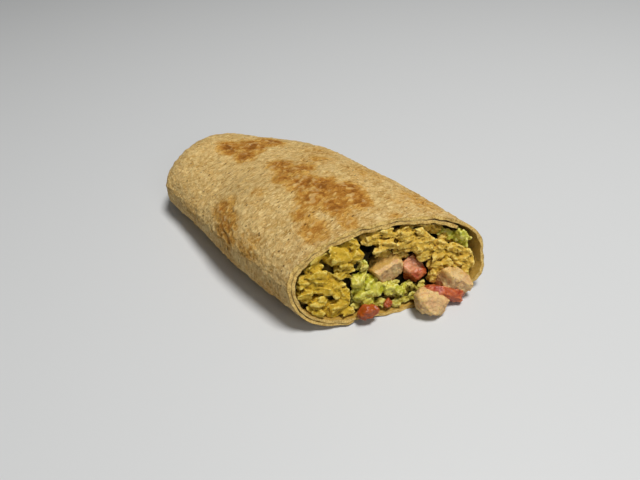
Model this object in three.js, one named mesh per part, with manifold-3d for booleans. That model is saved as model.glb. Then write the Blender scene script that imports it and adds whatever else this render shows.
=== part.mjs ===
// Half of a chicken wrap: a wholemeal tortilla rolled about one and a half times round its filling,
// with its far end tucked shut and its near end cut across on a slant.
// Millimetres, +Z up. The roll lies along x, from the closed end (-x) to the cut (+x).
// Places on the cut are given as y across the roll from its near side, and z up from its base.

import * as THREE from 'three';
import { mergeVertices } from 'three/addons/utils/BufferGeometryUtils.js';
import Module from 'manifold-3d';

const wasm = await Module();
wasm.setup();

// The roll. Edges and height are given at four even stations, from the closed end to the cut.
const ROLL_LENGTH = 136;
const NEAR_EDGE = [0.4, -0.3, -3.3, 0];
const FAR_EDGE = [60, 92, 92, 91.4];
const HEIGHT = [33.9, 34.8, 44.8, 44];
const WIDEST_AT = 0.54;
const NEAR_ROUNDNESS = 1.82;
const FAR_ROUNDNESS = [1.75, 1.78, 1.95, 2.1];
const BASE_ROUNDNESS = 2.93;
const BASE_FLATTENING = 1.5;
const CUT_SKEW = 0.37;
const CUT_LEAN = -0.41;
const END_SKEW = -0.35;
const CAP_LENGTH = 13;
const CAP_WIDTH = 0.45;
const CAP_HEIGHT = 0.35;
const RIPPLE = 0.45;

// The sheet and its lap. Angles go round the section from the far side, over the top.
const SHEET = 2;
const LAP_GAP = 0.4;
const LAP_FLARE = 0.8;
const INNER_END = 37.5;
const FREE_EDGE = 250;
const FREE_EDGE_BLEND = 24;
const LAP_START = 26;
const END_WALL = 7;
const TURN_STEP = 7.5;
const EVEN_STATIONS = 7;
const STEP_HALF = 0.4;

// Clearances, how finely a joined shape keeps its form, and how far the fillings stand back from the
// cut or reach past it.
const CLEAR = 0.45;
const SHEET_FINENESS = 0.03;
const PIECE_FINENESS = 0.03;
const HEAP_FINENESS = 0.14;
const GROW = 0.35;
const SHORT_OF_CUT = 0.985;
const BEYOND_CUT = 1.06;
const FAR_BEYOND_CUT = 1.08;
const FILLING_START = 0.062;
const HEAP_SETBACK = 7;
const BED_SETBACK = 8;

const TORTILLA = { color: 0xc79a5e, roughness: 0.85 };
const SAUCED = { color: 0xc9a032, roughness: 0.6 };
const PULLED = { color: 0xc8a75c, roughness: 0.65 };
const CHICKEN = { color: 0xcdb184, roughness: 0.6 };
const TOMATO = { color: 0xb8553b, roughness: 0.35 };
const LETTUCE = { color: 0xb3bf4f, roughness: 0.5 };

const { clamp, lerp, smoothstep, degToRad } = THREE.MathUtils;

// Across, up and out of the cut face at one of its points.
const ACROSS = new THREE.Vector3(CUT_SKEW, 1, 0).normalize();
const OUT = new THREE.Vector3(1, -CUT_SKEW, -CUT_LEAN).normalize();
const UP = new THREE.Vector3().crossVectors(OUT, ACROSS);
const INTO_ROLL = OUT.clone().negate().toArray();

// Seeded random numbers from 0 to 1.
function randomFrom(seed) {
  let state = seed;
  return () => {
    state = (state * 1664525 + 1013904223) % 4294967296;
    return state / 4294967296;
  };
}

// A value that runs smoothly through the four stations.
function alongRoll(values, along) {
  const points = values.map((value, index) => new THREE.Vector2(index, value));
  return new THREE.SplineCurve(points).getPoint(clamp(along, 0, 1)).y;
}

// A point of the section plane, carried to its place along the sheared roll.
function place(y, z, along) {
  const cut = CUT_SKEW * y + CUT_LEAN * z;
  const end = -ROLL_LENGTH + END_SKEW * y;
  return new THREE.Vector3(lerp(end, cut, along), y, z);
}

function outline(turn, along, capStart) {
  const near = alongRoll(NEAR_EDGE, along);
  const far = alongRoll(FAR_EDGE, along);
  const high = alongRoll(HEIGHT, along);
  const fromEnd = clamp((along * ROLL_LENGTH - capStart) / CAP_LENGTH, 0, 1);
  const opening = Math.sqrt(1 - (1 - fromEnd) ** 2);
  const side = Math.cos(turn);
  const rise = Math.sin(turn);
  const topRoundness = side > 0 ? alongRoll(FAR_ROUNDNESS, along) : NEAR_ROUNDNESS;
  const power = 2 / (rise > 0 ? topRoundness : BASE_ROUNDNESS);
  const middle = WIDEST_AT * high;
  const halfWidth = (far - near) / 2 * lerp(CAP_WIDTH, 1, opening);
  const halfHeight = (rise > 0 ? high - middle : middle) * lerp(CAP_HEIGHT, 1, opening);
  const y = (near + far) / 2 + halfWidth * Math.sign(side) * Math.abs(side) ** power;
  const z = middle + halfHeight * Math.sign(rise) * Math.abs(rise) ** power;
  return [y, z];
}

// The soft unevenness of a rolled, toasted sheet. It dies away at the cut, the end and the base.
function ripple(turn, along) {
  const slow = Math.sin(3 * turn + 7 * along);
  const quick = Math.sin(5 * turn - 13 * along + 1);
  const offBase = clamp(0.6 + Math.sin(turn), 0, 1);
  return RIPPLE * (slow + quick) * offBase * Math.sin(Math.PI * clamp(along, 0, 1));
}

// A point at a depth under the outline, at a turn in degrees.
function wallPoint(turnDegrees, along, depth, capStart = 0) {
  const turn = degToRad(turnDegrees);
  const step = 0.02;
  const [y, z] = outline(turn, along, capStart);
  const [yBefore, zBefore] = outline(turn - step, along, capStart);
  const [yAfter, zAfter] = outline(turn + step, along, capStart);
  const chord = Math.hypot(yAfter - yBefore, zAfter - zBefore);
  const inward = depth + ripple(turn, along);
  const yIn = y - (zAfter - zBefore) / chord * inward;
  const zIn = z + (yAfter - yBefore) / chord * inward;
  return place(yIn, Math.max(zIn - BASE_FLATTENING, depth), along);
}

// The outer lap ends at the free edge underneath; from there the inner lap comes out to the surface.
// Towards the closed end the free edge melts into the tuck.
function outerDepth(turn, along) {
  if (turn < FREE_EDGE) {
    return 0;
  }
  const step = (SHEET + LAP_GAP / 2) * smoothstep(along * ROLL_LENGTH, 0, LAP_START);
  return step * (1 - smoothstep(turn, FREE_EDGE, FREE_EDGE + FREE_EDGE_BLEND));
}

function lapGap(turn) {
  return LAP_GAP + LAP_FLARE * (1 - smoothstep(turn, INNER_END, INNER_END + 30));
}

function innerDepth(turn, along, innerEnd) {
  if (turn < innerEnd) {
    return SHEET;
  }
  if (turn < FREE_EDGE) {
    return 2 * SHEET + lapGap(turn);
  }
  return outerDepth(turn, along) + SHEET;
}

// Turns round the section, with a close pair at each edge of the sheet.
function turnsRound(innerEnd, step = TURN_STEP) {
  const turns = [];
  for (let turn = 0; turn < 360; turn += step) {
    const nearEdge = Math.abs(turn - innerEnd) < 2.5 || Math.abs(turn - FREE_EDGE) < 2.5;
    if (!nearEdge) {
      turns.push(turn);
    }
  }
  for (const edge of [innerEnd, FREE_EDGE]) {
    turns.push(edge - STEP_HALF, edge + STEP_HALF);
  }
  return turns.sort((a, b) => a - b);
}

// Stations from a distance off the closed end: close together round the cap, then even.
function stationsFrom(start, finish, evenSteps) {
  const first = start / ROLL_LENGTH;
  const capEnd = (start + CAP_LENGTH) / ROLL_LENGTH;
  const stations = [0, 0.07, 0.22, 0.45, 0.72].map((part) => lerp(first, capEnd, part));
  const lastEven = finish > 1 ? SHORT_OF_CUT : 1;
  for (let step = 0; step <= evenSteps; step += 1) {
    stations.push(lerp(capEnd, lastEven, step / evenSteps));
  }
  if (finish > 1) {
    stations.push(finish);
  }
  return stations;
}

// Ways to close the end of a loft: a fan to a middle point for a round section, a ladder across a
// narrow band whose second half runs back along its first, and a split of any other outline.
const fanCap = (ring, first, middle) =>
  ring.map((_, step) => [first + step, first + (step + 1) % ring.length, middle]);
const ladderCap = (ring, first) => ring.slice(1, ring.length / 2).flatMap((_, step) => {
  const opposite = ring.length - 1 - step;
  return [
    [first + step, first + step + 1, first + opposite],
    [first + step + 1, first + opposite - 1, first + opposite],
  ];
});
const outlineCap = (ring, first) => {
  const flat = ring.map((point) => new THREE.Vector2(point.y, point.z));
  return THREE.ShapeUtils.triangulateShape(flat, []).map((face) => face.map((id) => first + id));
};

// A closed surface through rings of points, each ring seen anticlockwise from the +x end.
function loft(rings, cap) {
  const count = rings[0].length;
  const lastRing = rings[rings.length - 1];
  const middles = [rings[0], lastRing].map((ring) =>
    ring.reduce((sum, point) => sum.add(point), new THREE.Vector3()).divideScalar(count));
  const index = [];
  for (let ring = 0; ring < rings.length - 1; ring += 1) {
    for (let step = 0; step < count; step += 1) {
      const a = ring * count + step;
      const b = ring * count + (step + 1) % count;
      index.push(a, b, b + count, a, b + count, a + count);
    }
  }
  const total = rings.length * count;
  for (const [a, b, c] of cap(rings[0], 0, total)) {
    index.push(a, c, b);
  }
  index.push(...cap(lastRing, total - count, total + 1).flat());
  const points = cap === fanCap ? [...rings.flat(), ...middles] : rings.flat();
  const geometry = new THREE.BufferGeometry();
  const positions = points.flatMap((point) => point.toArray());
  geometry.setAttribute('position', new THREE.Float32BufferAttribute(positions, 3));
  geometry.setIndex(index);
  return geometry;
}

function solid(geometry) {
  const bare = geometry.clone();
  bare.deleteAttribute('normal');
  bare.deleteAttribute('uv');
  const merged = mergeVertices(bare, 1e-5);
  return new wasm.Manifold(new wasm.Mesh({
    numProp: 3,
    vertProperties: new Float32Array(merged.attributes.position.array),
    triVerts: new Uint32Array(merged.index.array),
  }));
}

// One whole body: loose scraps that a cut leaves are dropped.
function wholeBody(shape, fineness) {
  const bodies = shape.simplify(fineness).decompose();
  bodies.sort((a, b) => b.volume() - a.volume());
  return bodies[0];
}

// The space inside some depth of the outline, closed at both ends.
function rollSpace(depthAt, innerEnd, start, finish, evenSteps, turnStep) {
  const turns = turnsRound(innerEnd, turnStep);
  const rings = stationsFrom(start, finish, evenSteps).map((along) =>
    turns.map((turn) => wallPoint(turn, along, depthAt(turn, along), start)));
  return solid(loft(rings, fanCap));
}

// The narrow space between the two laps, from the inner end of the sheet to its free edge.
function lapSpace() {
  const turns = [INNER_END - 6];
  turns.push(...turnsRound(INNER_END).filter((turn) => turn > INNER_END && turn < FREE_EDGE));
  turns.push(FREE_EDGE + 2 * STEP_HALF);
  const back = [...turns].reverse();
  const stations = stationsFrom(LAP_START - CAP_LENGTH, FAR_BEYOND_CUT, 8).slice(5);
  const rings = stations.map((along) => [
    ...turns.map((turn) => wallPoint(turn, along, SHEET)),
    ...back.map((turn) => wallPoint(turn, along, SHEET + lapGap(turn))),
  ]);
  return solid(loft(rings, ladderCap));
}

// The slit under the edge of the flap that is tucked over the closed end.
function tuckSlit() {
  const stations = [-0.02, 0.012, 0.028];
  const across = [-0.1, 0.15, 0.35, 0.55, 0.75, 0.95, 1.1];
  const edge = (part, lift) => (along) => {
    const y = lerp(alongRoll(NEAR_EDGE, 0), alongRoll(FAR_EDGE, 0), part);
    return place(y, 13 + 9 * part + 2.5 * Math.sin(5 * part) + lift, along);
  };
  const rings = stations.map((along) => [
    ...across.map((part) => edge(part, 0)(along)),
    ...[...across].reverse().map((part) => edge(part, 0.7)(along)),
  ]);
  return solid(loft(rings, ladderCap));
}

function tortilla() {
  const outer = rollSpace(outerDepth, INNER_END, 0, BEYOND_CUT, EVEN_STATIONS, TURN_STEP);
  const depthAt = (turn, along) => innerDepth(turn, along, INNER_END);
  const hollow = rollSpace(depthAt, INNER_END, END_WALL, FAR_BEYOND_CUT, EVEN_STATIONS, TURN_STEP);
  const sheet = outer.subtract(hollow).subtract(lapSpace()).subtract(tuckSlit());
  return wholeBody(sheet.trimByPlane(INTO_ROLL, 0), SHEET_FINENESS);
}

// The filling keeps clear of the sheet, of the end of its inner lap, and of the cut lip in front.
const fillingDepth = (turn, along) => innerDepth(turn, along, INNER_END - 2) + CLEAR;
const fillingSpace = rollSpace(
  fillingDepth, INNER_END - 2, END_WALL, FAR_BEYOND_CUT, EVEN_STATIONS, 2 * TURN_STEP);

function lipKeepOut() {
  const outside = (turn, along) => outerDepth(turn, along) - GROW;
  const inside = (turn, along) => innerDepth(turn, along, INNER_END - 1.5) + GROW;
  const around = rollSpace(outside, INNER_END, 60, BEYOND_CUT, 4, TURN_STEP);
  const within = rollSpace(inside, INNER_END - 1.5, 50, FAR_BEYOND_CUT, 4, TURN_STEP);
  return around.subtract(within).trimByPlane(INTO_ROLL, -GROW);
}

// A column of filling: an outline on the cut that runs back through the roll, narrowing as it does.
function column(corners, startSetback, finish) {
  const stations = [startSetback, 0.25, 0.5, 0.75, finish].filter((part) => part >= startSetback);
  const wide = alongRoll(FAR_EDGE, 1) - alongRoll(NEAR_EDGE, 1);
  const rings = stations.map((along) => {
    const near = alongRoll(NEAR_EDGE, along);
    const squeeze = (alongRoll(FAR_EDGE, along) - near) / wide;
    const sink = alongRoll(HEIGHT, along) / alongRoll(HEIGHT, 1);
    return corners.map(([y, z]) => place(near + y * squeeze, z * sink, along));
  });
  return solid(loft(rings, outlineCap));
}

function setOnCut(geometry, { y, z, out = 0, tilt = 0, lean = 0 }) {
  const frame = new THREE.Matrix4().makeBasis(ACROSS, UP, OUT);
  const turn = new THREE.Matrix4().makeRotationFromEuler(
    new THREE.Euler(degToRad(lean), 0, degToRad(tilt), 'ZYX'));
  const spot = place(y, z, 1).addScaledVector(OUT, out);
  geometry.applyMatrix4(frame.multiply(turn).setPosition(spot));
  return geometry;
}

// An uneven lump: a ball pulled towards a block, with seeded dents.
function lump({ long, thick, deep, square = 2.4, rough = 0.12, detail = 1, seed = 1, grow = 0, ...spot }) {
  const random = randomFrom(seed * 7919 + 13);
  const waves = Array.from({ length: 4 }, () => {
    const heading = new THREE.Vector3(random() - 0.5, random() - 0.5, random() - 0.5).normalize();
    return { heading, pace: 2.5 + 3 * random(), start: 6 * random() };
  });
  const ball = new THREE.IcosahedronGeometry(1, detail);
  const points = ball.attributes.position;
  const point = new THREE.Vector3();
  for (let index = 0; index < points.count; index += 1) {
    point.fromBufferAttribute(points, index).normalize();
    const power = Math.abs(point.x) ** square + Math.abs(point.y) ** square + Math.abs(point.z) ** square;
    let radius = power ** (-1 / square);
    for (const wave of waves) {
      radius *= 1 + rough / 2 * Math.sin(wave.pace * wave.heading.dot(point) + wave.start);
    }
    point.multiplyScalar(radius);
    point.set(
      point.x * (long / 2 + grow), point.y * (thick / 2 + grow), point.z * (deep / 2 + grow));
    points.setXYZ(index, point.x, point.y, point.z);
  }
  return solid(setOnCut(ball, spot));
}

// A leaf: a thin disc with a ragged rim, thrown into folds, its two faces split alike.
function leaf({ wide, tall, thick, fold, folds, seed, grow = 0, ...spot }) {
  const random = randomFrom(seed);
  const phase = 6 * random();
  const tilt = random() - 0.5;
  const spokes = 20;
  const rounds = 4;
  const pointAt = (round, spoke, face) => {
    const angle = 2 * Math.PI * spoke / spokes;
    const rag = 1 + 0.06 * Math.sin(3 * angle + phase) + 0.04 * Math.sin(7 * angle);
    const reach = round / rounds * rag;
    const u = reach * Math.cos(angle);
    const v = reach * Math.sin(angle);
    const wave = Math.sin(folds * u + 1.4 * v + phase) + 0.6 * Math.sin(folds * v - 2 * u * tilt + 1);
    const depth = fold * wave * (0.45 + 0.55 * reach);
    const side = face * (thick / 2 + grow);
    return new THREE.Vector3(u * (wide / 2 + grow), v * (tall / 2 + grow), depth + side);
  };
  const positions = [];
  const index = [];
  for (const face of [1, -1]) {
    positions.push(...pointAt(0, 0, face).toArray());
    for (let round = 1; round <= rounds; round += 1) {
      for (let spoke = 0; spoke < spokes; spoke += 1) {
        positions.push(...pointAt(round, spoke, face).toArray());
      }
    }
  }
  const perFace = 1 + rounds * spokes;
  const id = (round, spoke) => 1 + (round - 1) * spokes + spoke % spokes;
  const add = (a, b, c) => {
    index.push(a, b, c);
    index.push(perFace + a, perFace + c, perFace + b);
  };
  for (let spoke = 0; spoke < spokes; spoke += 1) {
    add(0, id(1, spoke), id(1, spoke + 1));
    for (let round = 1; round < rounds; round += 1) {
      add(id(round, spoke), id(round + 1, spoke), id(round + 1, spoke + 1));
      add(id(round, spoke), id(round + 1, spoke + 1), id(round, spoke + 1));
    }
    const a = id(rounds, spoke);
    const b = id(rounds, spoke + 1);
    index.push(a, perFace + a, perFace + b, a, perFace + b, b);
  }
  const geometry = new THREE.BufferGeometry();
  geometry.setAttribute('position', new THREE.Float32BufferAttribute(positions, 3));
  geometry.setIndex(index);
  return solid(setOnCut(geometry, spot));
}

// Pieces that show singly. They are shaped in this order, and each is cut clear of those before it.
const PIECES = {
  chicken_chunk_front: {
    make: lump, look: CHICKEN, y: 58.4, z: 3.9, out: 6, long: 17.5, thick: 12.4, deep: 12,
    square: 3.2, rough: 0.16, detail: 2, seed: 3, tilt: -14,
  },
  chicken_chunk_centre: {
    make: lump, look: CHICKEN, y: 45.3, z: 20.6, out: -5, long: 16.5, thick: 13.6, deep: 13,
    square: 3, rough: 0.14, detail: 2, seed: 8, tilt: -8,
  },
  chicken_chunk_right: {
    make: lump, look: CHICKEN, y: 73.4, z: 8, out: 0.8, long: 19, thick: 12.6, deep: 12,
    square: 3, rough: 0.16, detail: 2, seed: 5, tilt: -30,
  },
  tomato_centre: {
    make: lump, look: TOMATO, y: 57.8, z: 16.8, out: -4.5, long: 10.5, thick: 14, deep: 9,
    square: 2.8, rough: 0.14, detail: 2, seed: 12, tilt: 12,
  },
  tomato_right: {
    make: lump, look: TOMATO, y: 66.6, z: 4.8, out: 3, long: 25, thick: 7, deep: 9,
    square: 2.8, rough: 0.1, detail: 2, seed: 21, tilt: -22,
  },
  tomato_lip: {
    make: lump, look: TOMATO, y: 30.3, z: 5.8, out: 2.6, long: 10, thick: 6.4, deep: 6,
    square: 2.6, rough: 0.16, detail: 1, seed: 17, tilt: 8,
  },
  tomato_bit: {
    make: lump, look: TOMATO, y: 40.8, z: 5.4, out: -1.2, long: 5, thick: 3.6, deep: 4.4,
    square: 2.6, rough: 0.14, detail: 1, seed: 30, tilt: 10,
  },
  lettuce_leaf_centre: {
    make: leaf, look: LETTUCE, y: 33.6, z: 13.8, out: -2.4, wide: 16, tall: 16, thick: 1.2,
    fold: 1.7, folds: 5.2, seed: 4, tilt: -16,
  },
  lettuce_leaf_corner: {
    make: leaf, look: LETTUCE, y: 82, z: 26.8, out: -3.4, wide: 7.4, tall: 12, thick: 1.2,
    fold: 1.2, folds: 4.6, seed: 9, tilt: 12,
  },
};

// Folds and shreds of the two heaps, as they lie on the cut: place, length, thickness and tilt.
const SAUCED_FOLDS = [
  [15.4, 33, 11.7, 3.4, 21], [24.9, 35.5, 7.7, 3.6, -8], [25, 32, 9.9, 8, -8], [32.2, 36.8, 6.8, 6, -28],
  [32.6, 30.6, 6.2, 8, -14], [26.7, 26.8, 8.4, 6.2, -11], [13.4, 28.3, 8.6, 4.2, -11],
  [15.3, 24.4, 9.9, 5.2, -5], [8.2, 23.6, 6, 6.2, -10], [15, 19, 8.8, 5.8, -8], [21.4, 16.2, 8.8, 5, -79],
  [6.8, 18, 6.6, 5, -26], [12, 13.5, 8.3, 5, -12], [18.6, 10, 8.7, 5.4, 0], [11.8, 8.4, 6.7, 3.4, -11],
];
const PULLED_CRUMBS = [
  [42.6, 37.6, 8.1, 4.6, -1], [41, 35, 7.4, 4.2, -5], [48.4, 36, 6.6, 4.8, -3], [56, 34.4, 8.8, 4.6, -17],
  [46, 32.2, 9.2, 4.4, -10], [53.6, 29.8, 7.7, 4.4, -5], [57, 31.4, 7.7, 4.6, -9],
  [64.6, 30.6, 7.9, 4.2, -22], [65, 27, 7.9, 5, -10], [62.8, 23.6, 6.4, 5, -3], [71, 25.4, 7.7, 4.8, -28],
  [68.6, 21.2, 7, 5, -9], [75.2, 20, 7.7, 5, -24], [67.5, 17, 7.4, 4.6, -15], [75.4, 16.4, 8.3, 4.6, -19],
  [81, 16.2, 6, 5, -48], [81, 11.6, 5.4, 5.6, -15],
];
const LETTUCE_SCRAPS = [
  [45.5, 11.6, 7.2, 4, 5], [49, 8, 11.6, 4, -7], [53, 10.6, 5.6, 4, -9], [46.4, 5, 7.4, 3.8, -11],
  [35.2, 24.2, 5, 4.4, 4], [24.6, 7.6, 5.6, 3.8, 4],
];

// Where each filling lies on the cut. The three outlines share their edges, less the clearance.
const SAUCED_OUTLINE = [
  [-5, -5], [24.5, -5], [24.5, 6], [26, 12], [27.5, 20], [31, 24], [36.2, 28], [36.7, 33], [36, 38],
  [35.5, 50], [-5, 50],
];
const PULLED_OUTLINE = [
  [36, 50], [36.5, 38.2], [37.2, 33.2], [41, 30.9], [47, 29.3], [54, 27.2], [60, 25.2], [62.5, 20],
  [63, 14], [66.2, 10.2], [80, 8.2], [100, 6.2], [100, 50],
];
const BED_OUTLINE = [
  [24.9, -5], [100, -5], [100, 5.7], [80, 7.7], [66, 9.7], [62.6, 13.7], [62, 19.7], [59.6, 24.7],
  [54, 26.7], [47, 28.8], [41, 30.4], [37.3, 32.4], [36.9, 27.5], [31.5, 23.5], [28, 19.8],
  [26.5, 12], [24.9, 6],
];
const CORNER_OUTLINE = [[74.5, 50], [75, 31.5], [78.4, 21.5], [100, 20.5], [100, 50]];

// Dark pockets that stay open between the fillings.
const POCKETS = [
  { y: 39.5, z: 31.4, out: -7, long: 8.5, thick: 6.5, deep: 24, rough: 0.05, seed: 2, tilt: -20 },
  { y: 73.6, z: 29.6, out: -6, long: 13, thick: 4.4, deep: 20, rough: 0.05, seed: 6, tilt: -24 },
  { y: 19.6, z: 28, out: -3, long: 4, thick: 3, deep: 9, rough: 0.05, seed: 7, tilt: 0 },
  { y: 6.2, z: 28.4, out: -3, long: 4.4, thick: 2.6, deep: 9, rough: 0.05, seed: 11, tilt: 30 },
];

function pieceSolids() {
  const keepOut = lipKeepOut();
  const solids = {};
  let taken = wasm.Manifold.union([keepOut]);
  for (const [name, { make, ...shape }] of Object.entries(PIECES)) {
    const cut = make(shape).subtract(taken);
    const onPlate = cut.trimByPlane([0, 0, 1], 0);
    solids[name] = wholeBody(onPlate, PIECE_FINENESS);
    taken = taken.add(make({ ...shape, grow: GROW }));
  }
  const grown = Object.values(PIECES).map(({ make, ...shape }) => make({ ...shape, grow: GROW }));
  return { solids, taken: wasm.Manifold.union(grown) };
}

// A heap: its core runs back to the closed end, and its folds and scraps stand out at the cut.
function heap(corners, setback, folds, folded, taken) {
  const core = column(corners, FILLING_START, 1 - setback / ROLL_LENGTH);
  const lumps = folds.map(([y, z, long, thick, tilt], index) => lump({
    y, z, long: long + 1.2, thick: thick + 1, tilt, deep: 7 + index % 3, out: -3.6 + index * 5 % 3 * 0.8,
    square: folded, rough: 0.2, lean: 8 * (index % 3 - 1), seed: 40 + index,
  }));
  const pockets = POCKETS.map((pocket) => lump(pocket));
  let shape = wasm.Manifold.union([core, ...lumps]);
  shape = shape.intersect(column(corners, FILLING_START, BEYOND_CUT)).intersect(fillingSpace);
  shape = shape.subtract(wasm.Manifold.union([...pockets, taken]));
  return wholeBody(shape, HEAP_FINENESS);
}

function node(name, shape, look) {
  const { vertProperties, triVerts } = shape.getMesh();
  const geometry = new THREE.BufferGeometry();
  geometry.setAttribute('position', new THREE.Float32BufferAttribute(vertProperties, 3));
  geometry.setIndex(Array.from(triVerts));
  geometry.computeVertexNormals();
  const mesh = new THREE.Mesh(geometry, new THREE.MeshStandardMaterial({ metalness: 0, ...look }));
  mesh.name = name;
  return mesh;
}

const wrap = new THREE.Group();
wrap.add(node('tortilla', tortilla(), TORTILLA));

const { solids, taken } = pieceSolids();
for (const [name, shape] of Object.entries(solids)) {
  wrap.add(node(name, shape, PIECES[name].look));
}

const corner = column(CORNER_OUTLINE, 1 - 15 / ROLL_LENGTH, BEYOND_CUT);
const sauced = heap(SAUCED_OUTLINE, HEAP_SETBACK, SAUCED_FOLDS, 2.2, taken);
const pulled = heap(PULLED_OUTLINE, HEAP_SETBACK, PULLED_CRUMBS, 2.6, taken.add(corner));
const bed = heap(BED_OUTLINE, BED_SETBACK, LETTUCE_SCRAPS, 2.2, taken);
wrap.add(node('sauced_shreds', sauced, SAUCED));
wrap.add(node('pulled_chicken', pulled, PULLED));
wrap.add(node('lettuce_bed', bed, LETTUCE));

// The wrap's own origin: the middle of its box, at the level it rests on.
const box = new THREE.Box3().setFromObject(wrap);
const centre = box.getCenter(new THREE.Vector3());
wrap.position.set(-centre.x, -centre.y, -box.min.z);

export default wrap;
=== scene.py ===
# Half of a chicken wrap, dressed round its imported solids: a toasted wholemeal tortilla rolled round
# sauced chicken, chicken chunks, tomato and lettuce, cut across on a slant.

import math
import random

import bmesh
import bpy
import numpy as np
from mathutils import Euler, Matrix, Vector, noise


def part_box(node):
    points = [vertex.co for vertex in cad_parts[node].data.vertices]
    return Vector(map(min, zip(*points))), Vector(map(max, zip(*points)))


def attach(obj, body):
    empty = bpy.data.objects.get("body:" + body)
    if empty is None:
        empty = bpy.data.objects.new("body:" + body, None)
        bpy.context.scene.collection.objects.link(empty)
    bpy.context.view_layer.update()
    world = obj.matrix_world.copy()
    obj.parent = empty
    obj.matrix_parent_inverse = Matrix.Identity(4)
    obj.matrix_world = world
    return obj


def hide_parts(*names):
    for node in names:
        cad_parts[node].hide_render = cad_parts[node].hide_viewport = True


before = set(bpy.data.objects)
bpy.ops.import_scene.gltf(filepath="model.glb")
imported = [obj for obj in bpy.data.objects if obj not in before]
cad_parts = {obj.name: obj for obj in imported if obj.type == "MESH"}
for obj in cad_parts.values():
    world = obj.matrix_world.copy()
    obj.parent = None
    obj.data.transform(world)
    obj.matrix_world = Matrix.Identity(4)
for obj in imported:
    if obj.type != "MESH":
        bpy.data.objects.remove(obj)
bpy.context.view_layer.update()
MM = 0.001

# ---------------------------------------------------------------------------------------------
# The tortilla: one round wholemeal flatbread, rolled one and a half times round its filling, tucked
# in at its far end and cut across by a knife. The sheet is laid out flat, as turns round the roll,
# part of the way along it and depth through it, and each point is then carried to the roll.
# ---------------------------------------------------------------------------------------------
ROLL_LENGTH = 136
# Four even stations from the closed end to the cut.
NEAR_EDGE = [0.4, -0.3, -3.3, 0]
FAR_EDGE = [60, 92, 92, 91.4]
HEIGHT = [33.9, 34.8, 44.8, 44.4]
FAR_ROUNDNESS = [1.75, 1.78, 1.95, 2.1]
NEAR_ROUNDNESS = 1.92
BASE_ROUNDNESS = 2.93
BASE_FLATTENING = 1.5
WIDEST_AT = 0.54
CUT_SKEW = 0.37
CUT_LEAN = -0.41
END_SKEW = -0.35
CAP_LENGTH = 13
CAP_WIDTH = 0.45
CAP_HEIGHT = 0.35
SLIT_WIDTH = 0.36
SLIT_HEIGHT = 0.03
SLIT_DEPTH = 7
DISC_UNTIL = 0.45
OVER_FROM = 0.3
SLIT_FROM = 0.6
ROLL_OVER = 2.5
SHEET = 1.7
EDGE_THICK = 0.5
EDGE_FEATHER = 26
INNER_END = 37.5
FREE_EDGE = 250
FREE_EDGE_BLEND = 24
LAP_START = 26
LAP_GAP = 0.2
LAP_FLARE = 0.7
LAP_FLARE_TURN = 30
LAPS_PARTED = 0.45
LAPS_PARTED_START = 2.2
LAPS_UNEVEN = 0.12
LAPS_UNEVEN_PACE = 7.3
LAPS_PRESSED_FROM = 0.9
LAPS_PARTED_FROM = 0.93
AT_CUT_FROM = 0.96
CUT_THINNING = 0.12
CUT_UNEVEN = 0.1
CUT_WAVE = 0.32
RIPPLE = 0.45
# Waves: height, pace in the first and in the second direction, start.
RIPPLES = [(1, 3, 7, 0), (1, 5, -13, 1)]
UNEVEN_WAVES = [(1, 0.42, 0.3, 0), (1, 0.9, -0.7, 1)]
CUT_WAVES = [(1, 0.35, 0.28, 0), (0.8, 0.7, -0.55, 1), (0.5, 1.1, 1.2, 2)]
# The under turn, up to this angle, isn't tucked in: it starts at this part of the rounded end.
UNTUCKED_TURN = FREE_EDGE + 8
UNTUCKED_FROM = 0.45
UNDER_COLUMNS = 115
SKIN_COLUMNS = 290
END_ROWS = 34
BODY_ROWS = 132
# The inner face has every fourth row of the outer one, and all of its last rows at the cut.
INNER_ROW_STEP = 4
SHARED_ROWS = 10
CUT_LEVELS = [0.07, 0.35, 0.65, 0.93]
MEAN_RADIUS = 36
INNER_RELIEF = 0.35
RELIEF_FADE = 25
TOAST_AND_SHADE_SHAPE = (0.9, 1.1, 1)
SHARP_FROM = 55
SCATTER_DEPTH = 1.6


def smooth(value, low, high):
    t = np.clip((value - low) / (high - low), 0, 1)
    return t * t * (3 - 2 * t)


def waves(rows, first, second):
    return sum(height * np.sin(a * first + b * second + start) for height, a, b, start in rows)


def along_roll(values, along):
    """A value that runs smoothly through four even stations, from the closed end to the cut."""
    t = np.clip(along, 0, 1) * 3
    i = np.minimum(t.astype(int), 2)
    w = t - i
    v = np.array([values[0], *values, values[-1]], float)
    before, here, after, beyond = v[i], v[i + 1], v[i + 2], v[i + 3]
    leave, arrive = (after - before) / 2, (beyond - here) / 2
    cubic = 2 * here - 2 * after + leave + arrive
    square = -3 * here + 3 * after - 2 * leave - arrive
    return ((cubic * w + square) * w + leave) * w + here


def end_profile(part):
    """Down the closed end: reach, width and height of the ring, and how far the sheet has turned."""
    reach = np.where(part >= 0, CAP_LENGTH * (1 - np.cos(part * np.pi / 2)), 0)
    turned = (1 - np.clip(part, 0, 1)) * np.pi / 2
    inside = np.clip(-part, 0, 1)
    disc = smooth(inside, 0, DISC_UNTIL)
    wide = 1 + (CAP_WIDTH - 1) * (1 - np.cos(turned)) + (SLIT_WIDTH - CAP_WIDTH) * disc
    high = 1 + (CAP_HEIGHT - 1) * (1 - np.cos(turned)) + (SLIT_HEIGHT - CAP_HEIGHT) * disc
    over = np.clip((inside - OVER_FROM) / (SLIT_FROM - OVER_FROM), 0, 1)
    reach = reach + ROLL_OVER * (1 - np.cos(over * np.pi / 2))
    reach = reach + SLIT_DEPTH * np.clip((inside - SLIT_FROM) / (1 - SLIT_FROM), 0, 1)
    return reach, wide, high, turned + over * np.pi / 2


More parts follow.
